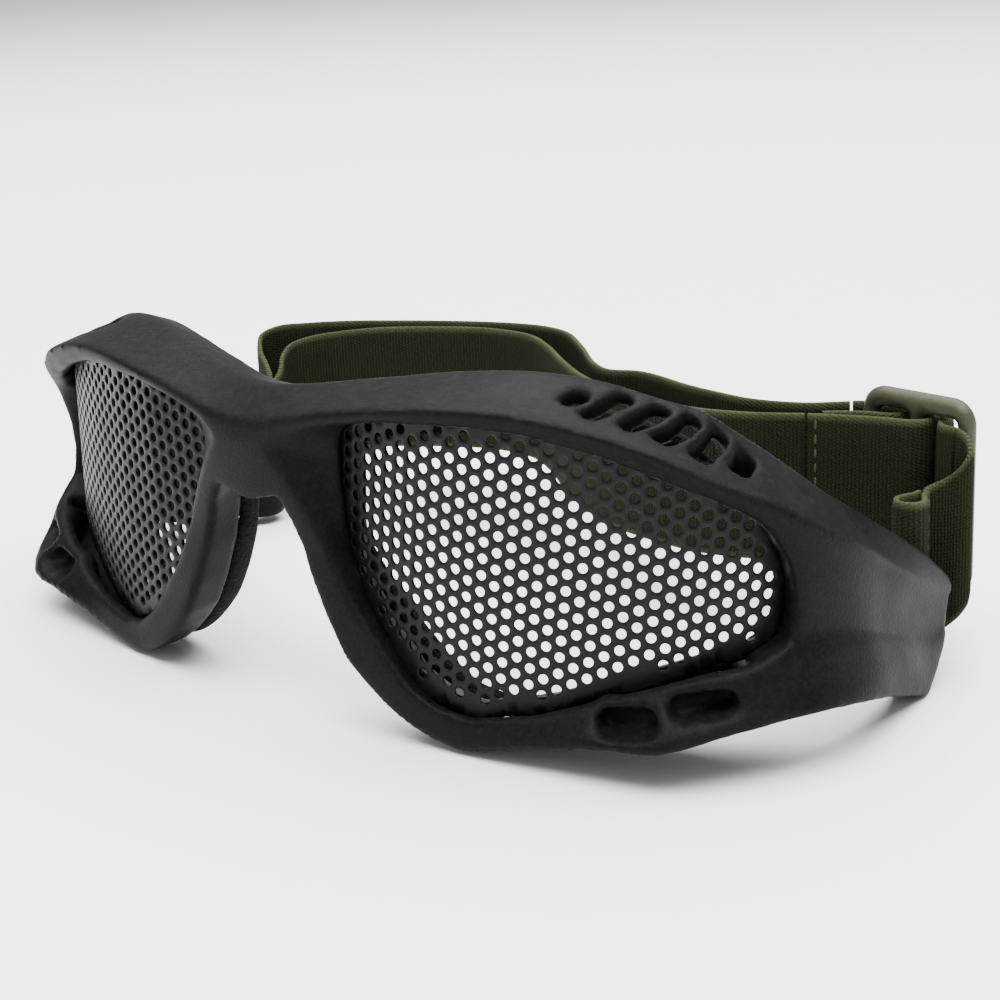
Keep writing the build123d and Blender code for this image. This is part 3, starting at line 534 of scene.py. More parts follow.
def frame_field(wrap, depth, height):
    """Distance field of the whole moulded frame, in places, depths and heights."""
    s, n, z = wrap[:, None, None], depth[None, :, None], height[None, None, :]
    solid = section_distance(wrap, depth, height, OUTER_LINES)
    rear = polygon_distance(s, z, WING_END) + 0 * n
    body = np.maximum(solid, -np.maximum(rear, n - WING_CUT_DEPTH))
    post = np.hypot(s - ROD_PLACE, n - ROD_DEPTH) + 0 * z
    web = np.maximum(np.abs(s - ROD_PLACE - KEYWAY_WEB_CENTRE[0]) - KEYWAY_WEB_HALF[0],
                     np.abs(n - KEYWAY_WEB_CENTRE[1]) - KEYWAY_WEB_HALF[1]) + 0 * z
    boss = np.minimum(post - KEYWAY_OUTER, web)
    boss = np.maximum(np.maximum(boss, KEYWAY_START - n), np.maximum(KEYWAY_BASE - z, z - KEYWAY_TOP))
    body = np.minimum(body, boss)
    body = np.maximum(body, -cavity_distance(wrap, depth, height))
    body = np.maximum(body, -opening_distance(wrap, depth, height))
    behind = n - lens_depth(wrap)[:, None, None]
    straight = np.clip((SEAT_STRAIGHT_END - s) / SEAT_STRAIGHT_FADE, 0, 1) * np.sin(s / FACE_RADIUS)
    seat = polygon_distance(s - behind * straight, z, seat_outline()) - LENS_MARGIN - SEAT_CLEARANCE
    body = np.maximum(body, -np.maximum(seat, -behind))
    for place, slot_depth, share in SLOT_PLACES:
        body = np.maximum(body, -slot_distance(s, n, z, place, slot_depth, share))
    for place, dimple_depth, dimple_height in DIMPLES:
        lift = DIMPLE_RADIUS - DIMPLE_DEPTH
        away = (s - place) ** 2 + (n - dimple_depth + lift) ** 2 + (z - dimple_height - lift) ** 2
        body = np.maximum(body, DIMPLE_RADIUS - np.sqrt(away))
    front = smooth_rows(STATIONS, FOLD, wrap)[:, 0][:, None, None]
    for place, vent_height in VENTS:
        pocket = vent_distance(s, z, place, vent_height)
        floor = np.maximum(pocket - VENT_WALL, n - front - VENT_REACH - VENT_WALL)
        body = np.minimum(body, np.maximum(floor, solid))
        body = np.maximum(body, -np.maximum(pocket, n - front - VENT_REACH))
    bore = np.maximum(post - KEYWAY_BORE, KEYWAY_FLOOR - z)
    mouth = np.maximum(np.maximum(np.abs(n - ROD_DEPTH) - KEYWAY_MOUTH, ROD_PLACE - s), KEYWAY_FLOOR - z)
    body = np.maximum(body, -np.minimum(bore, mouth))
    return np.maximum(body, -notch_distance(wrap, depth, height, 0))


def slot_distance(s, n, z, place, slot_depth, share):
    """Distance to one brow slot: an upright block with rounded corners, turned in plan."""
    curl = 1 - slot_depth * (1 / FACE_RADIUS if place < FACE_LENGTH else 1 / TEMPLE_RADIUS)
    across, length = turned((s - place) * curl, n - slot_depth, SLOT_SKEW)
    block = rounded_box(across, length, SLOT_WIDTH / 2, SLOT_LENGTH * share / 2, SLOT_CORNER)
    return np.maximum(block + 0 * z, (SLOT_FLOOR if place < SLOT_REAR_PLACE else SLOT_REAR_FLOOR) - z)


def vent_distance(s, z, place, vent_height):
    """Distance to the outline of one lower vent: a nearly level round-ended slot."""
    along, up = turned(s - place, z - vent_height, -VENT_TILT)
    reach = (VENT_LENGTH - VENT_HEIGHT) / 2
    return np.hypot(along - np.clip(along, -reach, reach), up) - VENT_HEIGHT / 2


def notch_distance(wrap, depth, height, extra):
    """Distance to the nose notch, whose outline widens and rises evenly from front to back."""
    points = wrap_points(wrap[:, None], depth[None, :], 0.0)
    widen = extra + (points[..., 1] - FRONT_Y) * NOTCH_FLARE
    across = np.maximum(points[..., 0] - np.maximum(widen, 0), 0)[:, :, None]
    lift = np.maximum(extra + (points[..., 1] - FRONT_Y) * NOTCH_RISE, 0)[:, :, None]
    low, high = NOTCH_STRETCH
    level = height[None, None, :]
    stretched = low + (level - low) * (high - low) / (high - low + lift)
    sunk = np.where(level > high + lift, level - lift, stretched)
    level = np.where(level > low, sunk, level)
    outline = NOTCH + [(-NOTCH[-1][0], NOTCH[-1][1])] + [(-x, z) for x, z in reversed(NOTCH[1:-1])]
    near = wrap < NOTCH_REACH
    result = np.full((len(wrap), len(depth), len(height)), OVERRUN)
    result[near] = polygon_distance(across[near], level[near], outline)
    return result


def mirrored_field(field):
    """The field of both halves, from that of the right half, whose first place is the middle."""
    return np.concatenate([field[:0:-1], field])


def field_points(points, wrap, depth, height, step):
    """Turn a net's grid steps into points in space."""
    places = points[:, 0] * step - wrap[-1]
    return wrap_points(places, depth[0] + points[:, 1] * step, height[0] + points[:, 2] * step)


def frame_shape():
    """Points and quads of the moulded frame: its distance field, softened and netted."""
    wrap, depth, height = frame_grid(*FRAME_GRID, GRID_STEP)
    field = softened(mirrored_field(frame_field(wrap, depth, height)), passes=1)
    points, quads = surface_net(field)
    points = relaxed(points, quads, passes=1)
    return field_points(points, wrap, depth, height, GRID_STEP), quads


def foam_shape():
    """Points and quads of the face foam.

    Its section hangs on the back rim of the frame, and both eye windows and the nose notch are
    taken out. Softening crowns it, and slow waves keep it from looking machined.
    """
    wrap, depth, height = frame_grid(*FOAM_GRID, FOAM_STEP)
    rim, mid, base = (smooth_rows(STATIONS, line, wrap) for line in (BACK_TOP, BACK_MID, BASE_BACK))
    back = FOAM_GAP + FOAM_THICKNESS
    top = rim[:, 1] - FOAM_DROP
    top_depth = mid[:, 0] + (rim[:, 0] - mid[:, 0]) * (top - mid[:, 1]) / (rim[:, 1] - mid[:, 1])
    corners = [(top_depth + FOAM_GAP, top), (top_depth + back, top - FOAM_SLOPE),
               (mid[:, 0] + back, mid[:, 1]), (base[:, 0] + back, base[:, 1] + FOAM_INSET),
               (base[:, 0] + FOAM_GAP, base[:, 1] + FOAM_INSET), (mid[:, 0] + FOAM_GAP, mid[:, 1])]
    corners = [(a[:, None, None], b[:, None, None]) for a, b in corners]
    field = polygon_distance(depth[None, :, None], height[None, None, :], corners)
    field = np.maximum(field, (wrap - FOAM_END)[:, None, None])
    outline = [(wrap_points(a, lens_depth(a), 0.0)[0], b) for a, b in seat_outline()]
    points = wrap_points(wrap[:, None], depth[None, :], 0.0)[..., 0][:, :, None]
    level = height[None, None, :]
    window = np.maximum(polygon_distance(points, level, outline),
                        polygon_distance(points, level + FOAM_BORDER, outline)) - FOAM_OPENING
    field = np.maximum(field, -window)
    field = np.maximum(field, -notch_distance(wrap, depth, height, FOAM_NOTCH))
    s, n, z = wrap[:, None, None], depth[None, :, None], height[None, None, :]
    first, second, third, fourth = FOAM_WAVE_STEPS
    field = field + FOAM_WAVE * np.sin(s / first + z / second) * np.sin(z / third - n / fourth)
    points, quads = surface_net(softened(mirrored_field(field), passes=4))
    points = relaxed(points, quads, passes=6)
    return field_points(points, wrap, depth, height, FOAM_STEP), quads


def glide_place(across, back, height=0.0):
    """A point beside the buckle from shares of its width, turned as the buckle is."""
    rod = wrap_points(ROD_PLACE, ROD_DEPTH, LOOP_BOTTOM)
    u, v = turned(across * GLIDE_WIDTH, back * GLIDE_WIDTH, GLIDE_TURN)
    x, y = rod[0] * GLIDE_X_SHARE + u, rod[1] + ROD_TO_BACK * GLIDE_Y_SHARE + v
    return np.stack([x, y, LOOP_BOTTOM + STRAP_RISE + height + 0 * x], axis=-1)


def glide_shape():
    """Points and quads of the tri-glide: a rounded plate whose two slots leave a middle bar."""
    step = GLIDE_STEP
    # The grid goes a few steps beyond the plate on every side, so that the surface closes.
    u = np.arange(-GLIDE_WIDTH / 2 - 2 * step, GLIDE_WIDTH / 2 + 3 * step, step)[:, None, None]
    v = np.arange(-GLIDE_THICKNESS / 2 - 3 * step, GLIDE_THICKNESS / 2 + 4 * step, step)[None, :, None]
    w = np.arange(-GLIDE_HEIGHT / 2 - 2 * step, GLIDE_HEIGHT / 2 + 3 * step, step)[None, None, :]
    plate = rounded_box(u, w, GLIDE_WIDTH / 2, GLIDE_HEIGHT / 2, GLIDE_CORNER)
    slot_centre = (GLIDE_BAR + GLIDE_SLOT_WIDTH) / 2
    slot = rounded_box(np.abs(u) - slot_centre, w, GLIDE_SLOT_WIDTH / 2, GLIDE_SLOT_HEIGHT / 2,
                       GLIDE_SLOT_CORNER)
    rails = np.maximum(plate, -slot) + 0 * v
    rim = np.minimum(np.maximum(rails + GLIDE_ROUNDING, 0), GLIDE_ROUNDING)
    bulge = np.abs(v) - GLIDE_THICKNESS / 2 + GLIDE_EDGE_DROP * (rim / GLIDE_ROUNDING) ** 2
    points, quads = surface_net(softened(np.maximum(rails, bulge), passes=2))
    points = relaxed(points, quads, passes=2) * step
    middle = glide_place(0.0, 0.0, WEB_WIDTH / 2)
    local = points + np.array([u[0, 0, 0], v[0, 0, 0], w[0, 0, 0]])
    turned_x, turned_y = turned(local[:, 0], local[:, 1], GLIDE_TURN)
    return np.stack([turned_x, turned_y, local[:, 2]], axis=1) + middle, quads


def through(points, spacing):
    """Even points along a smooth curve through some points.

    Each stretch is a cubic whose slope at a point is that of the chord of its neighbours, over
    the distances between them.
    """
    points = np.asarray(points, float)
    knots = np.concatenate([[0], np.cumsum(np.linalg.norm(np.diff(points, axis=0), axis=1) ** 0.5)])
    fine = np.linspace(0, knots[-1], CURVE_POINTS * len(points))
    first = 2 * points[0] - points[1]
    last = 2 * points[-1] - points[-2]
    ends = np.concatenate([[-knots[1]], knots, [2 * knots[-1] - knots[-2]]])
    curve = smooth_rows(ends, np.concatenate([[first], points, [last]]), fine)
    return evened(curve, spacing)


def evened(curve, spacing):
    """Points at even distances along a fine line of points."""
    lengths = np.concatenate([[0], np.cumsum(np.linalg.norm(np.diff(curve, axis=0), axis=1))])
    count = max(int(lengths[-1] / spacing), 4)
    at = np.linspace(0, lengths[-1], count)
    return np.stack([np.interp(at, lengths, curve[:, k]) for k in range(3)], axis=1)


def rounded_corners(points, spacing):
    """A curve that rounds every corner: each pass cuts a quarter off both ends of each run."""
    points = np.asarray(points, float)
    for _ in range(CORNER_PASSES):
        quarter = points[:-1] * 0.75 + points[1:] * 0.25
        rest = points[:-1] * 0.25 + points[1:] * 0.75
        inner = np.stack([quarter, rest], axis=1).reshape(-1, 3)
        points = np.concatenate([points[:1], inner[1:-1], points[-1:]])
    return evened(points, spacing)


def route(shares):
    """Points of a strap route at the webbing's lower edge."""
    rod = wrap_points(ROD_PLACE, ROD_DEPTH, LOOP_BOTTOM)
    shares = np.array(shares, float)
    return np.stack([rod[0] * shares[:, 0], rod[1] + ROD_TO_BACK * shares[:, 1],
                     LOOP_BOTTOM + STRAP_RISE * shares[:, 2]], axis=1)


def web_section():
    """Closed section of the webbing: across from -1 to 1 and up from 0 to 1, thinner at the edges."""
    up = (1 - np.cos(np.linspace(0, math.pi, WEB_SECTION_POINTS))) / 2
    thin = 1 - WEB_EDGE_THINNING * np.abs(2 * up - 1) ** 14
    return np.concatenate([np.stack([-thin, up], axis=1), np.stack([thin, up], axis=1)[::-1]])


def ribbon(path, start):
    """Webbing along a path: at each point the upright section, set square to the path in plan.

    The place map holds the length along the webbing in metres and the share of its height.
    """
    run = np.gradient(path, axis=0)[:, :2]
    run = run / np.linalg.norm(run, axis=1)[:, None]
    side = np.stack([-run[:, 1], run[:, 0], np.zeros(len(path))], axis=1)
    section = web_section()
    across, up = section[:, 0][None, :, None], section[:, 1][None, :, None]
    points = path[:, None, :] + side[:, None, :] * across * WEB_THICKNESS / 2
    points = points + up * np.array([0, 0, WEB_WIDTH])
    lengths = np.concatenate([[0], np.cumsum(np.linalg.norm(np.diff(path, axis=0), axis=1))])
    along = np.broadcast_to(((lengths + start) * METRE)[:, None], points.shape[:2])
    share = np.broadcast_to(section[:, 1][None, :], points.shape[:2])
    rings, size = points.shape[:2]
    number = np.arange(rings * size).reshape(rings, size)
    next_number = np.roll(number, -1, axis=1)
    quads = np.stack([number[:-1], number[1:], next_number[1:], next_number[:-1]], axis=-1)
    faces = quads.reshape(-1, 4).tolist() + [number[0].tolist(), number[-1][::-1].tolist()]
    return points.reshape(-1, 3), faces, np.stack([along, share], axis=-1).reshape(-1, 2)


def stitch_row(origin, pitch, outwards):
    """An upright row of short threads: each a rounded spindle, half sunk in the cloth."""
    ring = np.linspace(0, 2 * math.pi, STITCH_SIDES + 1)[:-1]
    along = np.array([-1, -.7, 0, .7, 1]) * STITCH_LENGTH / 2
    girth = np.array([.1, .75, 1, .75, .1]) * STITCH_RADIUS
    direction = np.array([0, 0, 1])
    third = np.cross(direction, outwards)
    local = (along[:, None, None] * direction + girth[:, None, None]
             * (np.cos(ring)[None, :, None] * outwards + np.sin(ring)[None, :, None] * third))
    centres = origin + np.arange(STITCHES)[:, None] * pitch * direction
    points = (centres[:, None, None, :] + local[None]).reshape(-1, 3)
    size = local.shape[0] * local.shape[1]
    number = np.arange(size).reshape(local.shape[:2])
    next_number = np.roll(number, -1, axis=1)
    quads = np.stack([number[:-1], next_number[:-1], next_number[1:], number[1:]], axis=-1)
    one = quads.reshape(-1, 4).tolist() + [number[0][::-1].tolist(), number[-1].tolist()]
    return points, [[corner + size * index for corner in face] for index in range(STITCHES) for face in one]


def hole_cells():
    """Places and heights of the lens's cells: a six-sided lattice, slightly turned."""
    column, row = np.meshgrid(np.arange(-HOLE_COLUMNS, HOLE_COLUMNS), np.arange(-HOLE_ROWS, HOLE_ROWS),
                              indexing="ij")
    across = column * HOLE_PITCH * math.sqrt(3) / 2
    up = (row + (column % 2) / 2) * HOLE_PITCH
    wrap, height = turned(across, up, HOLE_TURN)
    return np.stack([LENS_MID_PLACE + wrap.ravel(), LENS_MID_HEIGHT + height.ravel()], axis=1)


def cell_rings(centres):
    """Rings of points of each cell: its six-sided border, the rolled rim and the hole's edge."""
    angle = 2 * math.pi * np.arange(HOLE_SIDES) / HOLE_SIDES + HOLE_TURN
    corner_angle = 2 * math.pi * np.arange(7) / 6 + HOLE_TURN
    corners = np.stack([np.cos(corner_angle), np.sin(corner_angle)], axis=1) * HOLE_PITCH / math.sqrt(3)
    side = np.arange(HOLE_SIDES) * 6 / HOLE_SIDES
    whole = side.astype(int)
    part = (side - whole)[:, None]
    border = corners[whole] * (1 - part) + corners[whole + 1] * part
    circle = np.stack([np.cos(angle), np.sin(angle)], axis=1)
    rings = np.stack([border, circle * (HOLE_RADIUS + HOLE_ROLL), circle * HOLE_RADIUS])
    return centres[:, None, None, :] + rings[None]


def drawn_in(points):
    """Move points that lie outside the lens's outline back to it, along the shortest way."""
    outline = seat_outline()
    for _ in range(DRAWING_PASSES):
        s, z = points[..., 0], points[..., 1]
        away = polygon_distance(s, z, outline)
        grad_s = polygon_distance(s + NUDGE, z, outline) - polygon_distance(s - NUDGE, z, outline)
        grad_z = polygon_distance(s, z + NUDGE, outline) - polygon_distance(s, z - NUDGE, outline)
        size = np.hypot(grad_s, grad_z) + 1e-9
        over = np.maximum(away - LENS_MARGIN, 0)
        points = points - np.stack([grad_s / size * over, grad_z / size * over], axis=-1)
    return points


def lens_shape(side):
    """Points and faces of one lens: a six-sided lattice of cells, each round its hole.

    Cells near the outline have no hole. The sheet follows the plan curve and leans back.
    """
    centres = hole_cells()
    away = polygon_distance(centres[:, 0], centres[:, 1], seat_outline())
    kept = away < LENS_MARGIN + CELL_OVERLAP
    centres, away = centres[kept], away[kept]
    rings = cell_rings(centres)
    rings[:, 0] = drawn_in(rings[:, 0])
    open_cells = away < -HOLE_EDGE
    sunk = np.zeros(rings.shape[:3])
    sunk[:, 2] = HOLE_ROLL * HOLE_SINK_SHARE
    flat = np.concatenate([rings, sunk[..., None]], axis=-1).reshape(-1, 3)
    _, first, numbers = np.unique(np.round(flat, 3), axis=0, return_index=True, return_inverse=True)
    points = flat[first]
    numbers = numbers.reshape(rings.shape[:3])
    outer, inner = numbers[open_cells][:, :2], numbers[open_cells][:, 1:]
    quads = np.stack([outer, np.roll(outer, -1, axis=2), np.roll(inner, -1, axis=2), inner], axis=-1)
    faces = quads.reshape(-1, 4).tolist() + numbers[~open_cells][:, 0].tolist()
    used = np.unique(np.concatenate([np.ravel(face) for face in faces]))
    lookup = np.full(len(points), -1)
    lookup[used] = np.arange(len(used))
    faces = [lookup[face].tolist() for face in faces]
    points = points[used]
    place = wrap_points(points[:, 0], lens_depth(points[:, 0]) + points[:, 2], LENS_MID_HEIGHT)
    rise = points[:, 1] - LENS_MID_HEIGHT
    place = place + np.stack([0 * rise, rise * LENS_LEAN, rise], axis=1)
    if side < 0:
        place = place * np.array([-1, 1, 1])
        faces = [face[::-1] for face in faces]
    return place, faces


def feed(tree, node, values):
    """Link or set a node's inputs, by their names or numbers."""
    for name, value in values.items():
        if isinstance(value, bpy.types.NodeSocket):
            tree.links.new(value, node.inputs[name])
        else:
            node.inputs[name].default_value = value


def new_node(tree, kind, values=None, **settings):
    """Add a shader node, set its options, and link or set its inputs."""
    made = tree.nodes.new(kind)
    for name, value in settings.items():
        setattr(made, name, value)
    feed(tree, made, values or {})
    return made


def sum_node(tree, operation, first, second=0.0, third=0.0):
    """Add a maths node and return its result."""
    made = new_node(tree, "ShaderNodeMath", {0: first, 1: second, 2: third}, operation=operation)
    return made.outputs[0]


def blend_node(tree, share, first, second):
    """Mix two colours by a share and return the result."""
    return new_node(tree, "ShaderNodeMix", {0: share, 6: first, 7: second}, data_type="RGBA").outputs[2]


def range_node(tree, value, low, high, to_low, to_high):
    """Stretch a value from one range to another and return the result."""
    made = new_node(tree, "ShaderNodeMapRange", {"Value": value, "From Min": low, "From Max": high,
                                                 "To Min": to_low, "To Max": to_high})
    return made.outputs[0]


def start_group(name, inputs, outputs):
    """Make a shader node group with named sockets: a vector where an input has no value."""
    group = bpy.data.node_groups.new(name, "ShaderNodeTree")
    for label, value in inputs.items():
        kind = "NodeSocketVector" if value is None else "NodeSocketFloat"
        socket = group.interface.new_socket(label, in_out="INPUT", socket_type=kind)
        if value is not None:
            socket.default_value = value
    for label in outputs:
        group.interface.new_socket(label, in_out="OUTPUT", socket_type="NodeSocketFloat")
    return group, group.nodes.new("NodeGroupInput").outputs, group.nodes.new("NodeGroupOutput").inputs


def grain_group():
    """Moulded grain: fine pits between soft grains, with a slow mottle for tone and gloss."""
    if "Moulded Grain" in bpy.data.node_groups:
        return bpy.data.node_groups["Moulded Grain"]
    group, given, result = start_group(
        "Moulded Grain", {"Place": None, "Grain Size": 0.0004, "Mottle Size": 0.012},
        ["Height", "Pits", "Mottle"])
    fine_scale = sum_node(group, "DIVIDE", 1.0, given["Grain Size"])
    slow_scale = sum_node(group, "DIVIDE", 1.0, given["Mottle Size"])
    fine = new_node(group, "ShaderNodeTexNoise", {"Vector": given["Place"], "Scale": fine_scale,
                                                  "Detail": 2.0, "Roughness": 0.6})
    cells = new_node(group, "ShaderNodeTexVoronoi", {"Vector": given["Place"], "Scale": fine_scale})
    slow = new_node(group, "ShaderNodeTexNoise", {"Vector": given["Place"], "Scale": slow_scale,
                                                  "Detail": 4.0, "Roughness": 0.55})
    height = sum_node(group, "ADD", fine.outputs[0], sum_node(group, "MULTIPLY", cells.outputs[0], 0.6))
    group.links.new(height, result["Height"])
    pits = range_node(group, height, 0.55, 1.15, 0.0, 1.0)
    group.links.new(pits, result["Pits"])
    mottle = range_node(group, slow.outputs[0], 0.35, 0.65, 0.0, 1.0)
    group.links.new(mottle, result["Mottle"])
    return group


def dust_group():
    """Settled dust: thin specks that gather where a surface looks up."""
    if "Settled Dust" in bpy.data.node_groups:
        return bpy.data.node_groups["Settled Dust"]
    group, given, result = start_group(
        "Settled Dust", {"Place": None, "Facing": None, "Speck Size": 0.0015, "Amount": 0.3}, ["Dust"])
    scale = sum_node(group, "DIVIDE", 1.0, given["Speck Size"])
    specks = new_node(group, "ShaderNodeTexNoise", {"Vector": given["Place"], "Scale": scale,
                                                    "Detail": 5.0, "Roughness": 0.7})
    split = new_node(group, "ShaderNodeSeparateXYZ", {"Vector": given["Facing"]})
    upward = range_node(group, split.outputs[2], 0.0, 1.0, 0.15, 1.0)
    sparse = range_node(group, specks.outputs[0], 0.45, 0.75, 0.0, 1.0)
    dust = sum_node(group, "MULTIPLY", sum_node(group, "MULTIPLY", sparse, upward), given["Amount"])
    group.links.new(dust, result["Dust"])
    return group


def weave_group():
    """Elastic webbing: ribs across the strap, fine threads along it, and pale selvedges.

    A rib is a sine along the strap and a thread a sine across it. Their product is the height,
    and the selvedge is where the share of the height nears its ends.
    """
    if "Webbing Weave" in bpy.data.node_groups:
        return bpy.data.node_groups["Webbing Weave"]
    group, given, result = start_group(
        "Webbing Weave", {"Map": None, "Rib Pitch": 0.0009, "Threads": 44.0, "Edge Width": 0.03},
        ["Height", "Ribs", "Edge"])
    split = new_node(group, "ShaderNodeSeparateXYZ", {"Vector": given["Map"]})
    wobble = new_node(group, "ShaderNodeTexNoise", {"Vector": given["Map"], "Scale": 90.0, "Detail": 2.0})
    length = sum_node(group, "MULTIPLY_ADD", wobble.outputs[0], 0.0006, split.outputs[0])
    turns = sum_node(group, "DIVIDE", length, given["Rib Pitch"])
    rib = sum_node(group, "SINE", sum_node(group, "MULTIPLY", turns, 2 * math.pi))
    rib = sum_node(group, "MULTIPLY_ADD", rib, 0.5, 0.5)
    threads = sum_node(group, "MULTIPLY", split.outputs[1], given["Threads"])
    half = sum_node(group, "MULTIPLY_ADD", turns, 0.5, threads)
    thread = sum_node(group, "SINE", sum_node(group, "MULTIPLY", half, 2 * math.pi))
    thread = sum_node(group, "MULTIPLY_ADD", thread, 0.5, 0.5)
    from_middle = sum_node(group, "ABSOLUTE", sum_node(group, "SUBTRACT", split.outputs[1], 0.5))
    edge = sum_node(group, "ADD", from_middle, given["Edge Width"])
    edge = range_node(group, edge, 0.48, 0.52, 0.0, 1.0)
    height = sum_node(group, "MULTIPLY_ADD", thread, 0.35, rib)
    group.links.new(height, result["Height"])
    group.links.new(sum_node(group, "MULTIPLY", rib, thread), result["Ribs"])
    group.links.new(edge, result["Edge"])
    return group


def start_material(name):
    """Make a material and return it with its tree and its main shader."""
    made = bpy.data.materials.new(name)
    made.use_nodes = True
    tree = made.node_tree
    return made, tree, tree.nodes["Principled BSDF"]


def put_group(tree, group, values):
    """Place a node group, feed it, and return its outputs."""
    return new_node(tree, "ShaderNodeGroup", values, node_tree=group).outputs


def toned(colour, factor=1.0):
    """A colour with its alpha, made lighter or darker."""
    return tuple(min(c * factor, 1.0) for c in colour) + (1,)


def rough_coat(tree, height, strength, distance):
    """A bump from a height and return its normal."""
    made = new_node(tree, "ShaderNodeBump", {"Height": height, "Strength": strength, "Distance": distance})
    return made.outputs[0]


def moulded_material(name, colour, tones, roughness, grain, mottle, bump, dust, specular):
    """A moulded plastic or coating: grain, a slow mottle in tone and gloss, and a little dust.

    The tones are how much darker its pits and lighter its grains are than the colour. The bump
    is a strength and a height in metres, and the grain and the mottle are sizes in metres.
    """
    made, tree, shader = start_material(name)
    place = new_node(tree, "ShaderNodeTexCoord").outputs["Object"]
    facing = new_node(tree, "ShaderNodeNewGeometry").outputs["Normal"]
    grains = put_group(tree, grain_group(), {"Place": place, "Grain Size": grain, "Mottle Size": mottle})
    dusts = put_group(tree, dust_group(), {"Place": place, "Facing": facing, "Amount": dust})
    share = sum_node(tree, "MULTIPLY_ADD", grains["Pits"], 0.6, sum_node(
        tree, "MULTIPLY", grains["Mottle"], 0.4))
    clean = blend_node(tree, share, toned(colour, tones[0]), toned(colour, tones[1]))
    dusty = blend_node(tree, dusts["Dust"], clean, DUST_COLOUR)
    rough = range_node(tree, grains["Mottle"], 0.0, 1.0, roughness - 0.05, roughness + 0.06)
    rough = sum_node(tree, "MULTIPLY_ADD", dusts["Dust"], 0.3, rough)
    feed(tree, shader, {"Base Color": dusty, "Roughness": rough,
                        "Specular IOR Level": specular,
                        "Normal": rough_coat(tree, grains["Height"], *bump)})
    return made


def webbing_material(colours, rib_pitch):
    """Olive elastic webbing: ribs and threads, pale selvedges, and a slow change of tone."""
    made, tree, shader = start_material("Olive webbing")
    coords = new_node(tree, "ShaderNodeTexCoord").outputs
    weave = put_group(tree, weave_group(), {"Map": coords["UV"], "Rib Pitch": rib_pitch})
    grains = put_group(tree, grain_group(), {"Place": coords["Object"], "Grain Size": 0.00025,
                                             "Mottle Size": 0.006})
    share = sum_node(tree, "MULTIPLY_ADD", grains["Pits"], 0.25, sum_node(
        tree, "MULTIPLY", weave["Ribs"], 0.75))
    ribbed = blend_node(tree, share, toned(colours.webbing_dark), toned(colours.webbing_light))
    edged = blend_node(tree, sum_node(tree, "MULTIPLY", weave["Edge"], 0.75), ribbed,
                       toned(colours.webbing_edge))
    slow = blend_node(tree, sum_node(tree, "MULTIPLY", grains["Mottle"], 0.3), edged, WORN_WEBBING)
    height = sum_node(tree, "MULTIPLY_ADD", grains["Height"], 0.3, weave["Height"])
    feed(tree, shader, {"Base Color": slow, "Roughness": 0.9, "Specular IOR Level": 0.08,
                        "Normal": rough_coat(tree, height, 0.8, 0.00025)})
    return made


def foam_material(colour):
    """Dark open-cell foam: two sizes of round cells, deep between their walls."""
    made, tree, shader = start_material("Face foam")
    place = new_node(tree, "ShaderNodeTexCoord").outputs["Object"]
    large = new_node(tree, "ShaderNodeTexVoronoi", {"Vector": place, "Scale": 1400.0})
    small = new_node(tree, "ShaderNodeTexVoronoi", {"Vector": place, "Scale": 3100.0})
    slow = new_node(tree, "ShaderNodeTexNoise", {"Vector": place, "Scale": 120.0, "Detail": 3.0})
    height = sum_node(tree, "MULTIPLY_ADD", small.outputs[0], 0.5, large.outputs[0])
    wall = range_node(tree, height, 0.25, 1.1, 0.0, 1.0)
    share = sum_node(tree, "MULTIPLY", wall, range_node(tree, slow.outputs[0], 0.3, 0.7, 0.6, 1.0))
    feed(tree, shader, {"Base Color": blend_node(tree, share, toned(colour, 0.35), toned(colour)),
                        "Roughness": 0.95, "Specular IOR Level": 0.1,
                        "Normal": rough_coat(tree, height, 0.9, 0.0005)})
    return made


def floor_material(colour):
    """Matt white studio paper with a barely visible tooth."""
    made, tree, shader = start_material("Studio paper")
    place = new_node(tree, "ShaderNodeTexCoord").outputs["Object"]
    tooth = new_node(tree, "ShaderNodeTexNoise", {"Vector": place, "Scale": 900.0, "Detail": 2.0})
    white = blend_node(tree, tooth.outputs[0], toned(colour, 0.985), toned(colour))
    feed(tree, shader, {"Base Color": white, "Roughness": 0.9, "Specular IOR Level": 0.1,
                        "Normal": rough_coat(tree, tooth.outputs[0], 0.05, 0.0001)})
    return made


def colour_property(name, description, default):
    """A colour that the user can change."""
    return bpy.props.FloatVectorProperty(name=name, description=description, subtype="COLOR", size=3,
                                         min=0, max=1, default=default)


def length_property(name, description, default):
    """A length in metres that the user can change."""
    return bpy.props.FloatProperty(name=name, description=description, unit="LENGTH", subtype="DISTANCE",
                                   min=0.00001, default=default, precision=5)


class GoggleSizes(bpy.types.PropertyGroup):
    """Sizes of the finishes."""

    frame_grain: length_property("Frame grain", "Size of the grain of the moulded frame", 0.0005)
    rib_pitch: length_property("Rib pitch", "Distance between the ribs of the webbing", 0.00065)
    stitch_pitch: length_property("Stitch pitch", "Distance between stitches", 0.0024)
    floor_size: length_property("Floor size", "Width of the studio floor", 8.0)


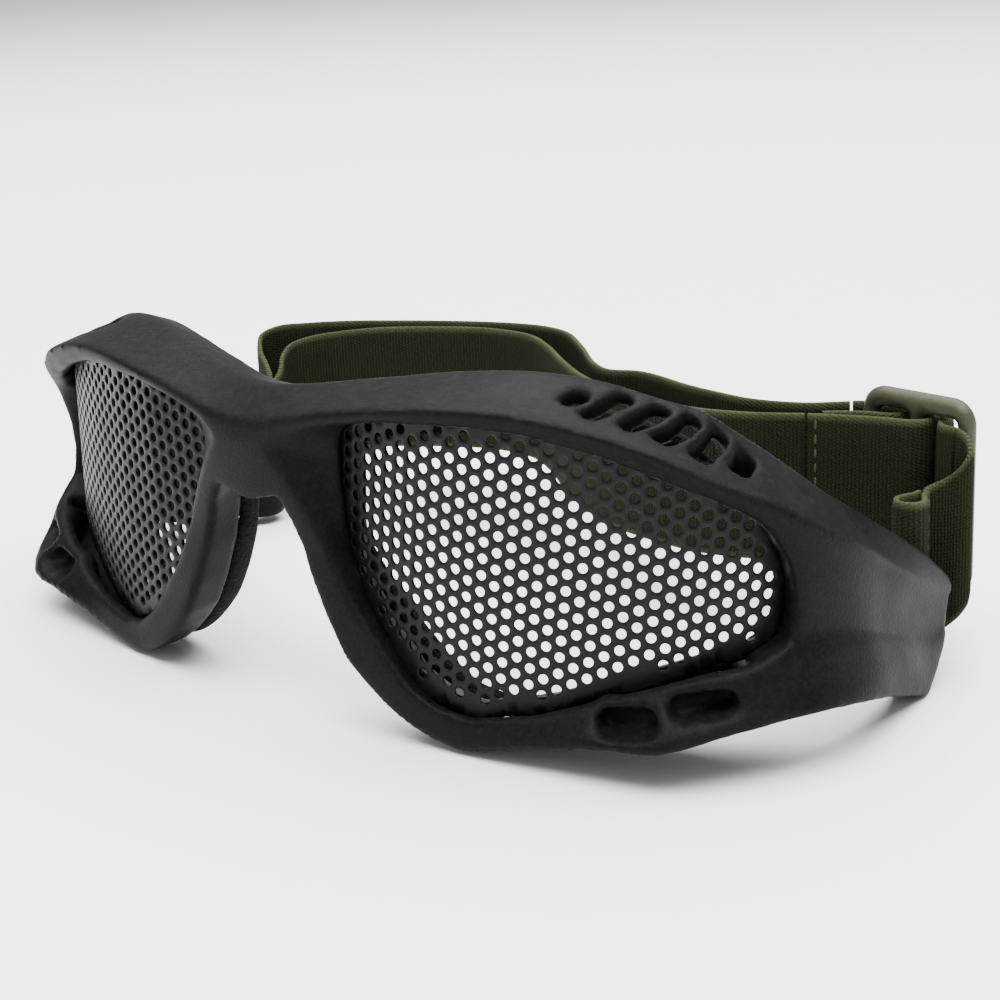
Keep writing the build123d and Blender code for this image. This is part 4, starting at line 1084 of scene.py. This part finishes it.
class GoggleColours(bpy.types.PropertyGroup):
    """Colours of the finishes."""

    frame: colour_property("Frame", "Moulded frame", (0.0052, 0.0052, 0.0057))
    lens: colour_property("Lens", "Coating of the perforated lenses", (0.0035, 0.0035, 0.004))
    retainer: colour_property("Retainer", "Inner rims that hold the lenses", (0.012, 0.012, 0.012))
    foam: colour_property("Foam", "Face foam", (0.010, 0.010, 0.011))
    webbing_dark: colour_property("Webbing shade", "Tone between the ribs", (0.004, 0.006, 0.002))
    webbing_light: colour_property("Webbing ribs", "Tone on the ribs", (0.019, 0.024, 0.010))
    webbing_edge: colour_property("Selvedge", "Pale edges of the webbing", (0.05, 0.062, 0.028))
    thread: colour_property("Thread", "Stitches", (0.045, 0.055, 0.026))
    buckle: colour_property("Buckle", "Tri-glide", (0.034, 0.035, 0.019))
    rod: colour_property("Rod", "Strap rods", (0.62, 0.58, 0.45))
    floor: colour_property("Floor", "Studio paper", (0.9, 0.9, 0.9))


def settle(made, body, slot, *nodes):
    """Let a piece ride on a body and stand for the nodes that it replaces. Its slot is not used."""
    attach(made, body)
    if nodes:
        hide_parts(*nodes)


def dress(node, material):
    """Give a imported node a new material."""
    mesh = frame["nodes"][node].data
    mesh.materials.clear()
    mesh.materials.append(material)


class GOGGLES_OT_frame(bpy.types.Operator):
    """Build the moulded frame"""

    bl_idname = "goggles.frame"
    bl_label = "Moulded frame"

    def execute(self, context):
        colours, sizes = context.scene.goggle_colours, context.scene.goggle_sizes
        rubber = moulded_material("Frame rubber", colours.frame, (0.35, 1), roughness=0.5,
                                  grain=sizes.frame_grain, mottle=0.014, bump=(0.22, 0.0002), dust=0.03,
                                  specular=0.05)
        points, quads = frame_shape()
        made = put_mesh("moulded_frame", points, quads, rubber)
        settle(made, "frame", "frame_rubber", "frame_shell")
        return {"FINISHED"}


class GOGGLES_OT_lenses(bpy.types.Operator):
    """Build the perforated lenses and finish their retainers"""

    bl_idname = "goggles.lenses"
    bl_label = "Perforated lenses"

    def execute(self, context):
        colours = context.scene.goggle_colours
        coat = moulded_material("Black coated steel", colours.lens, (0.6, 1.6), roughness=0.42,
                                grain=0.0003, mottle=0.02, bump=(0.15, 0.0001), dust=0.05, specular=0.12)
        for name, side in (("right", 1), ("left", -1)):
            points, faces = lens_shape(side)
            made = put_mesh("perforated_lens_" + name, points, faces, coat)
            thick = made.modifiers.new("Sheet thickness", "SOLIDIFY")
            thick.thickness = LENS_THICKNESS * METRE
            thick.offset = -1
            settle(made, "frame", "lens_steel", "lens_mesh_" + name)
        rim = moulded_material("Retainer plastic", colours.retainer, (0.6, 1.5), roughness=0.55,
                               grain=0.0005, mottle=0.01, bump=(0.2, 0.0002), dust=0.1, specular=0.4)
        for name in ("lens_retainer_right", "lens_retainer_left"):
            dress(name, rim)
        return {"FINISHED"}


class GOGGLES_OT_foam(bpy.types.Operator):
    """Build the face foam"""

    bl_idname = "goggles.foam"
    bl_label = "Face foam"

    def execute(self, context):
        points, quads = foam_shape()
        made = put_mesh("face_foam_cushion", points, quads, foam_material(context.scene.goggle_colours.foam))
        settle(made, "frame", "foam", "face_foam")
        return {"FINISHED"}


def put_ribbon(name, path, material, start=0.0):
    """Make one stretch of webbing."""
    points, faces, sheet = ribbon(path, start)
    return put_mesh(name, points, faces, material, sheet)


def stretch(made, node):
    """Bake a stretch of webbing's placing into its points, and hide the node that it replaces."""
    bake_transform(made)
    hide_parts(node)


def put_seam(name, place, outwards, pitch, material, body):
    """Sew a row of stitches up the webbing's width, on the face of it that looks outwards."""
    outwards = outwards / np.linalg.norm(outwards)
    margin = (WEB_WIDTH - pitch * (STITCHES - 1)) / 2
    origin = place + outwards * WEB_THICKNESS / 2 + np.array([0, 0, margin])
    points, faces = stitch_row(origin, pitch, outwards)
    settle(put_mesh(name, points, faces, material), body, "webbing")


def split_path(path, x):
    """Cut a path in two where it passes a place across, both with the shared point."""
    index = int(np.argmax(path[:, 0] >= x))
    return path[:index + 1], path[index:]


class GOGGLES_OT_strap(bpy.types.Operator):
    """Build the webbing strap, its hems and its stitches"""

    bl_idname = "goggles.strap"
    bl_label = "Webbing strap"

    def execute(self, context):
        colours, sizes = context.scene.goggle_colours, context.scene.goggle_sizes
        webbing = webbing_material(colours, sizes.rib_pitch)
        thread = moulded_material("Sewing thread", colours.thread, (0.7, 1.2), roughness=0.7,
                                  grain=0.0004, mottle=0.005, bump=(0.1, 0.0001), dust=0.05, specular=0.1)
        pitch = sizes.stitch_pitch / METRE
        rod = wrap_points(ROD_PLACE, ROD_DEPTH, LOOP_BOTTOM)
        for layer, shares, split in (("front", FRONT_ROUTE, FRONT_SPLIT_SHARE),
                                     ("back", BACK_ROUTE, BACK_SPLIT_SHARE)):
            run, lead = split_path(through(route(shares), RUN_SPACING), rod[0] * split)
            made = put_ribbon("webbing_%s_run" % layer, run, webbing)
            stretch(made, "strap_%s_run" % layer)
            made = put_ribbon("webbing_%s_lead" % layer, lead, webbing, len(run) * RUN_SPACING)
            stretch(made, "strap_%s_lead" % layer)
        path = through(route(RIGHT_ROUTE), LEAD_SPACING)
        made = put_ribbon("webbing_right_lead", path, webbing)
        stretch(made, "strap_right_lead")
        for name, shares, node in (("webbing_sewn_end", SEWN_LOOP, "strap_sewn_loop"),
                                   ("webbing_bar_wrap", BAR_WRAP, "strap_bar_wrap")):
            path = rounded_corners(glide_place(*np.array(shares).T), BEND_SPACING)
            settle(put_ribbon(name, path, webbing), "buckle", "webbing", node)
        place = glide_place(*SEWN_SEAM)
        outwards = glide_place(SEWN_SEAM[0] + SEWN_FACE[0], SEWN_SEAM[1] + SEWN_FACE[1]) - place
        put_seam("stitches_sewn_end", place, outwards, pitch, thread, "buckle")
        for name, side in (("right", 1), ("left", -1)):
            heading = float(plan_curve(ROD_PLACE)[2])
            turned_x, turned_y = turned(*np.array(LOOP_ROUTE).T, heading)
            x, y = rod[0] + turned_x, rod[1] + turned_y
            path = rounded_corners(np.stack([x, y, LOOP_BOTTOM + 0 * x], axis=1), BEND_SPACING)
            if side < 0:
                path = path[::-1] * np.array([-1, 1, 1])
            made = put_ribbon("webbing_hem_" + name, path, webbing)
            settle(made, "loop_" + name, "webbing", "strap_loop_" + name)
            outwards = np.array([side * math.sin(heading), -math.cos(heading), 0])
            across = np.array([side * math.cos(heading), math.sin(heading), 0])
            place = rod * np.array([side, 1, 1]) + across * HEM_SEAM + outwards * WEB_THICKNESS / 2
            put_seam("stitches_hem_" + name, place, outwards, pitch, thread, "loop_" + name)
        return {"FINISHED"}


class GOGGLES_OT_buckle(bpy.types.Operator):
    """Build the tri-glide buckle and finish the strap rods"""

    bl_idname = "goggles.buckle"
    bl_label = "Buckle and rods"

    def execute(self, context):
        colours = context.scene.goggle_colours
        plastic = moulded_material("Buckle plastic", colours.buckle, (0.75, 1.25), roughness=0.4,
                                   grain=0.0006, mottle=0.008, bump=(0.12, 0.0002), dust=0.1, specular=0.2)
        points, quads = glide_shape()
        made = put_mesh("tri_glide_moulding", points, quads, plastic)
        settle(made, "buckle", "buckle_plastic", "tri_glide")
        pale = moulded_material("Rod plastic", colours.rod, (0.85, 1.1), roughness=0.4,
                                grain=0.0005, mottle=0.006, bump=(0.1, 0.0002), dust=0.15, specular=0.5)
        for name in ("strap_rod_right", "strap_rod_left"):
            dress(name, pale)
        return {"FINISHED"}


def add_light(name, place, target, size, watts):
    """Add a soft square light that looks at a target."""
    data = bpy.data.lights.new(name, "AREA")
    data.shape = "RECTANGLE"
    data.size, data.size_y = size
    data.energy = watts
    made = bpy.data.objects.new(name, data)
    bpy.context.scene.collection.objects.link(made)
    made.location = place
    away = Vector(place) - Vector(target)
    made.rotation_euler = away.to_track_quat("Z", "Y").to_matrix().to_euler()


class GOGGLES_OT_stage(bpy.types.Operator):
    """Build the floor, the lights and the camera"""

    bl_idname = "goggles.stage"
    bl_label = "Studio"

    def execute(self, context):
        scene = context.scene
        half = scene.goggle_sizes.floor_size / METRE / 2
        line = np.linspace(-half, half, FLOOR_POINTS)
        across, along = np.meshgrid(line, line, indexing="ij")
        points = np.stack([across.ravel(), along.ravel(), 0 * across.ravel()], axis=1)
        number = np.arange(across.size).reshape(across.shape)
        quads = np.stack([number[:-1, :-1], number[1:, :-1], number[1:, 1:], number[:-1, 1:]], axis=-1)
        paper = floor_material(scene.goggle_colours.floor)
        put_mesh("studio_floor", points, quads.reshape(-1, 4), paper)
        world = bpy.data.worlds.new("Studio light")
        scene.world = world
        world.use_nodes = True
        feed(world.node_tree, world.node_tree.nodes["Background"],
             {"Color": (1, 1, 1, 1), "Strength": WORLD_STRENGTH})
        for name, settings in LIGHTS.items():
            add_light(name, *settings)
        camera = bpy.data.cameras.new("Photograph view")
        camera.sensor_width = 36
        camera.lens = CAMERA_LENS
        camera.clip_start, camera.clip_end = 0.01, 50
        made = bpy.data.objects.new("Photograph view", camera)
        scene.collection.objects.link(made)
        columns = [CAMERA_RIGHT, CAMERA_UP, CAMERA_BACK]
        turn = Matrix([[column[row] for column in columns] for row in range(3)]).to_4x4()
        turn.translation = [c * METRE for c in CAMERA_PLACE]
        made.matrix_world = turn
        scene.camera = made
        return {"FINISHED"}


class GOGGLES_PT_pieces(bpy.types.Panel):
    """Lists the pieces of the goggles, their sizes and their colours"""

    bl_idname = "GOGGLES_PT_pieces"
    bl_label = "Mesh safety goggles"
    bl_space_type = "VIEW_3D"
    bl_region_type = "UI"
    bl_category = "Goggles"

    def draw(self, context):
        for piece in PIECES:
            self.layout.operator(piece.bl_idname)
        for group in (context.scene.goggle_sizes, context.scene.goggle_colours):
            for name in group.__annotations__:
                self.layout.prop(group, name)


PIECES = (GOGGLES_OT_stage, GOGGLES_OT_frame, GOGGLES_OT_lenses, GOGGLES_OT_foam, GOGGLES_OT_strap,
          GOGGLES_OT_buckle)
CLASSES = (GoggleSizes, GoggleColours) + PIECES + (GOGGLES_PT_pieces,)


def register():
    """Register the classes and hang the sizes and colours on the scene."""
    for item in CLASSES:
        bpy.utils.register_class(item)
    bpy.types.Scene.goggle_sizes = bpy.props.PointerProperty(type=GoggleSizes)
    bpy.types.Scene.goggle_colours = bpy.props.PointerProperty(type=GoggleColours)


def unregister():
    """Take the sizes and colours off the scene and unregister the classes."""
    del bpy.types.Scene.goggle_colours
    del bpy.types.Scene.goggle_sizes
    for item in reversed(CLASSES):
        bpy.utils.unregister_class(item)


def main():
    """Build every piece in order."""
    register()
    bpy.ops.goggles.stage()
    bpy.ops.goggles.frame()
    bpy.ops.goggles.lenses()
    bpy.ops.goggles.foam()
    bpy.ops.goggles.strap()
    bpy.ops.goggles.buckle()


if __name__ == "__main__":
    main()
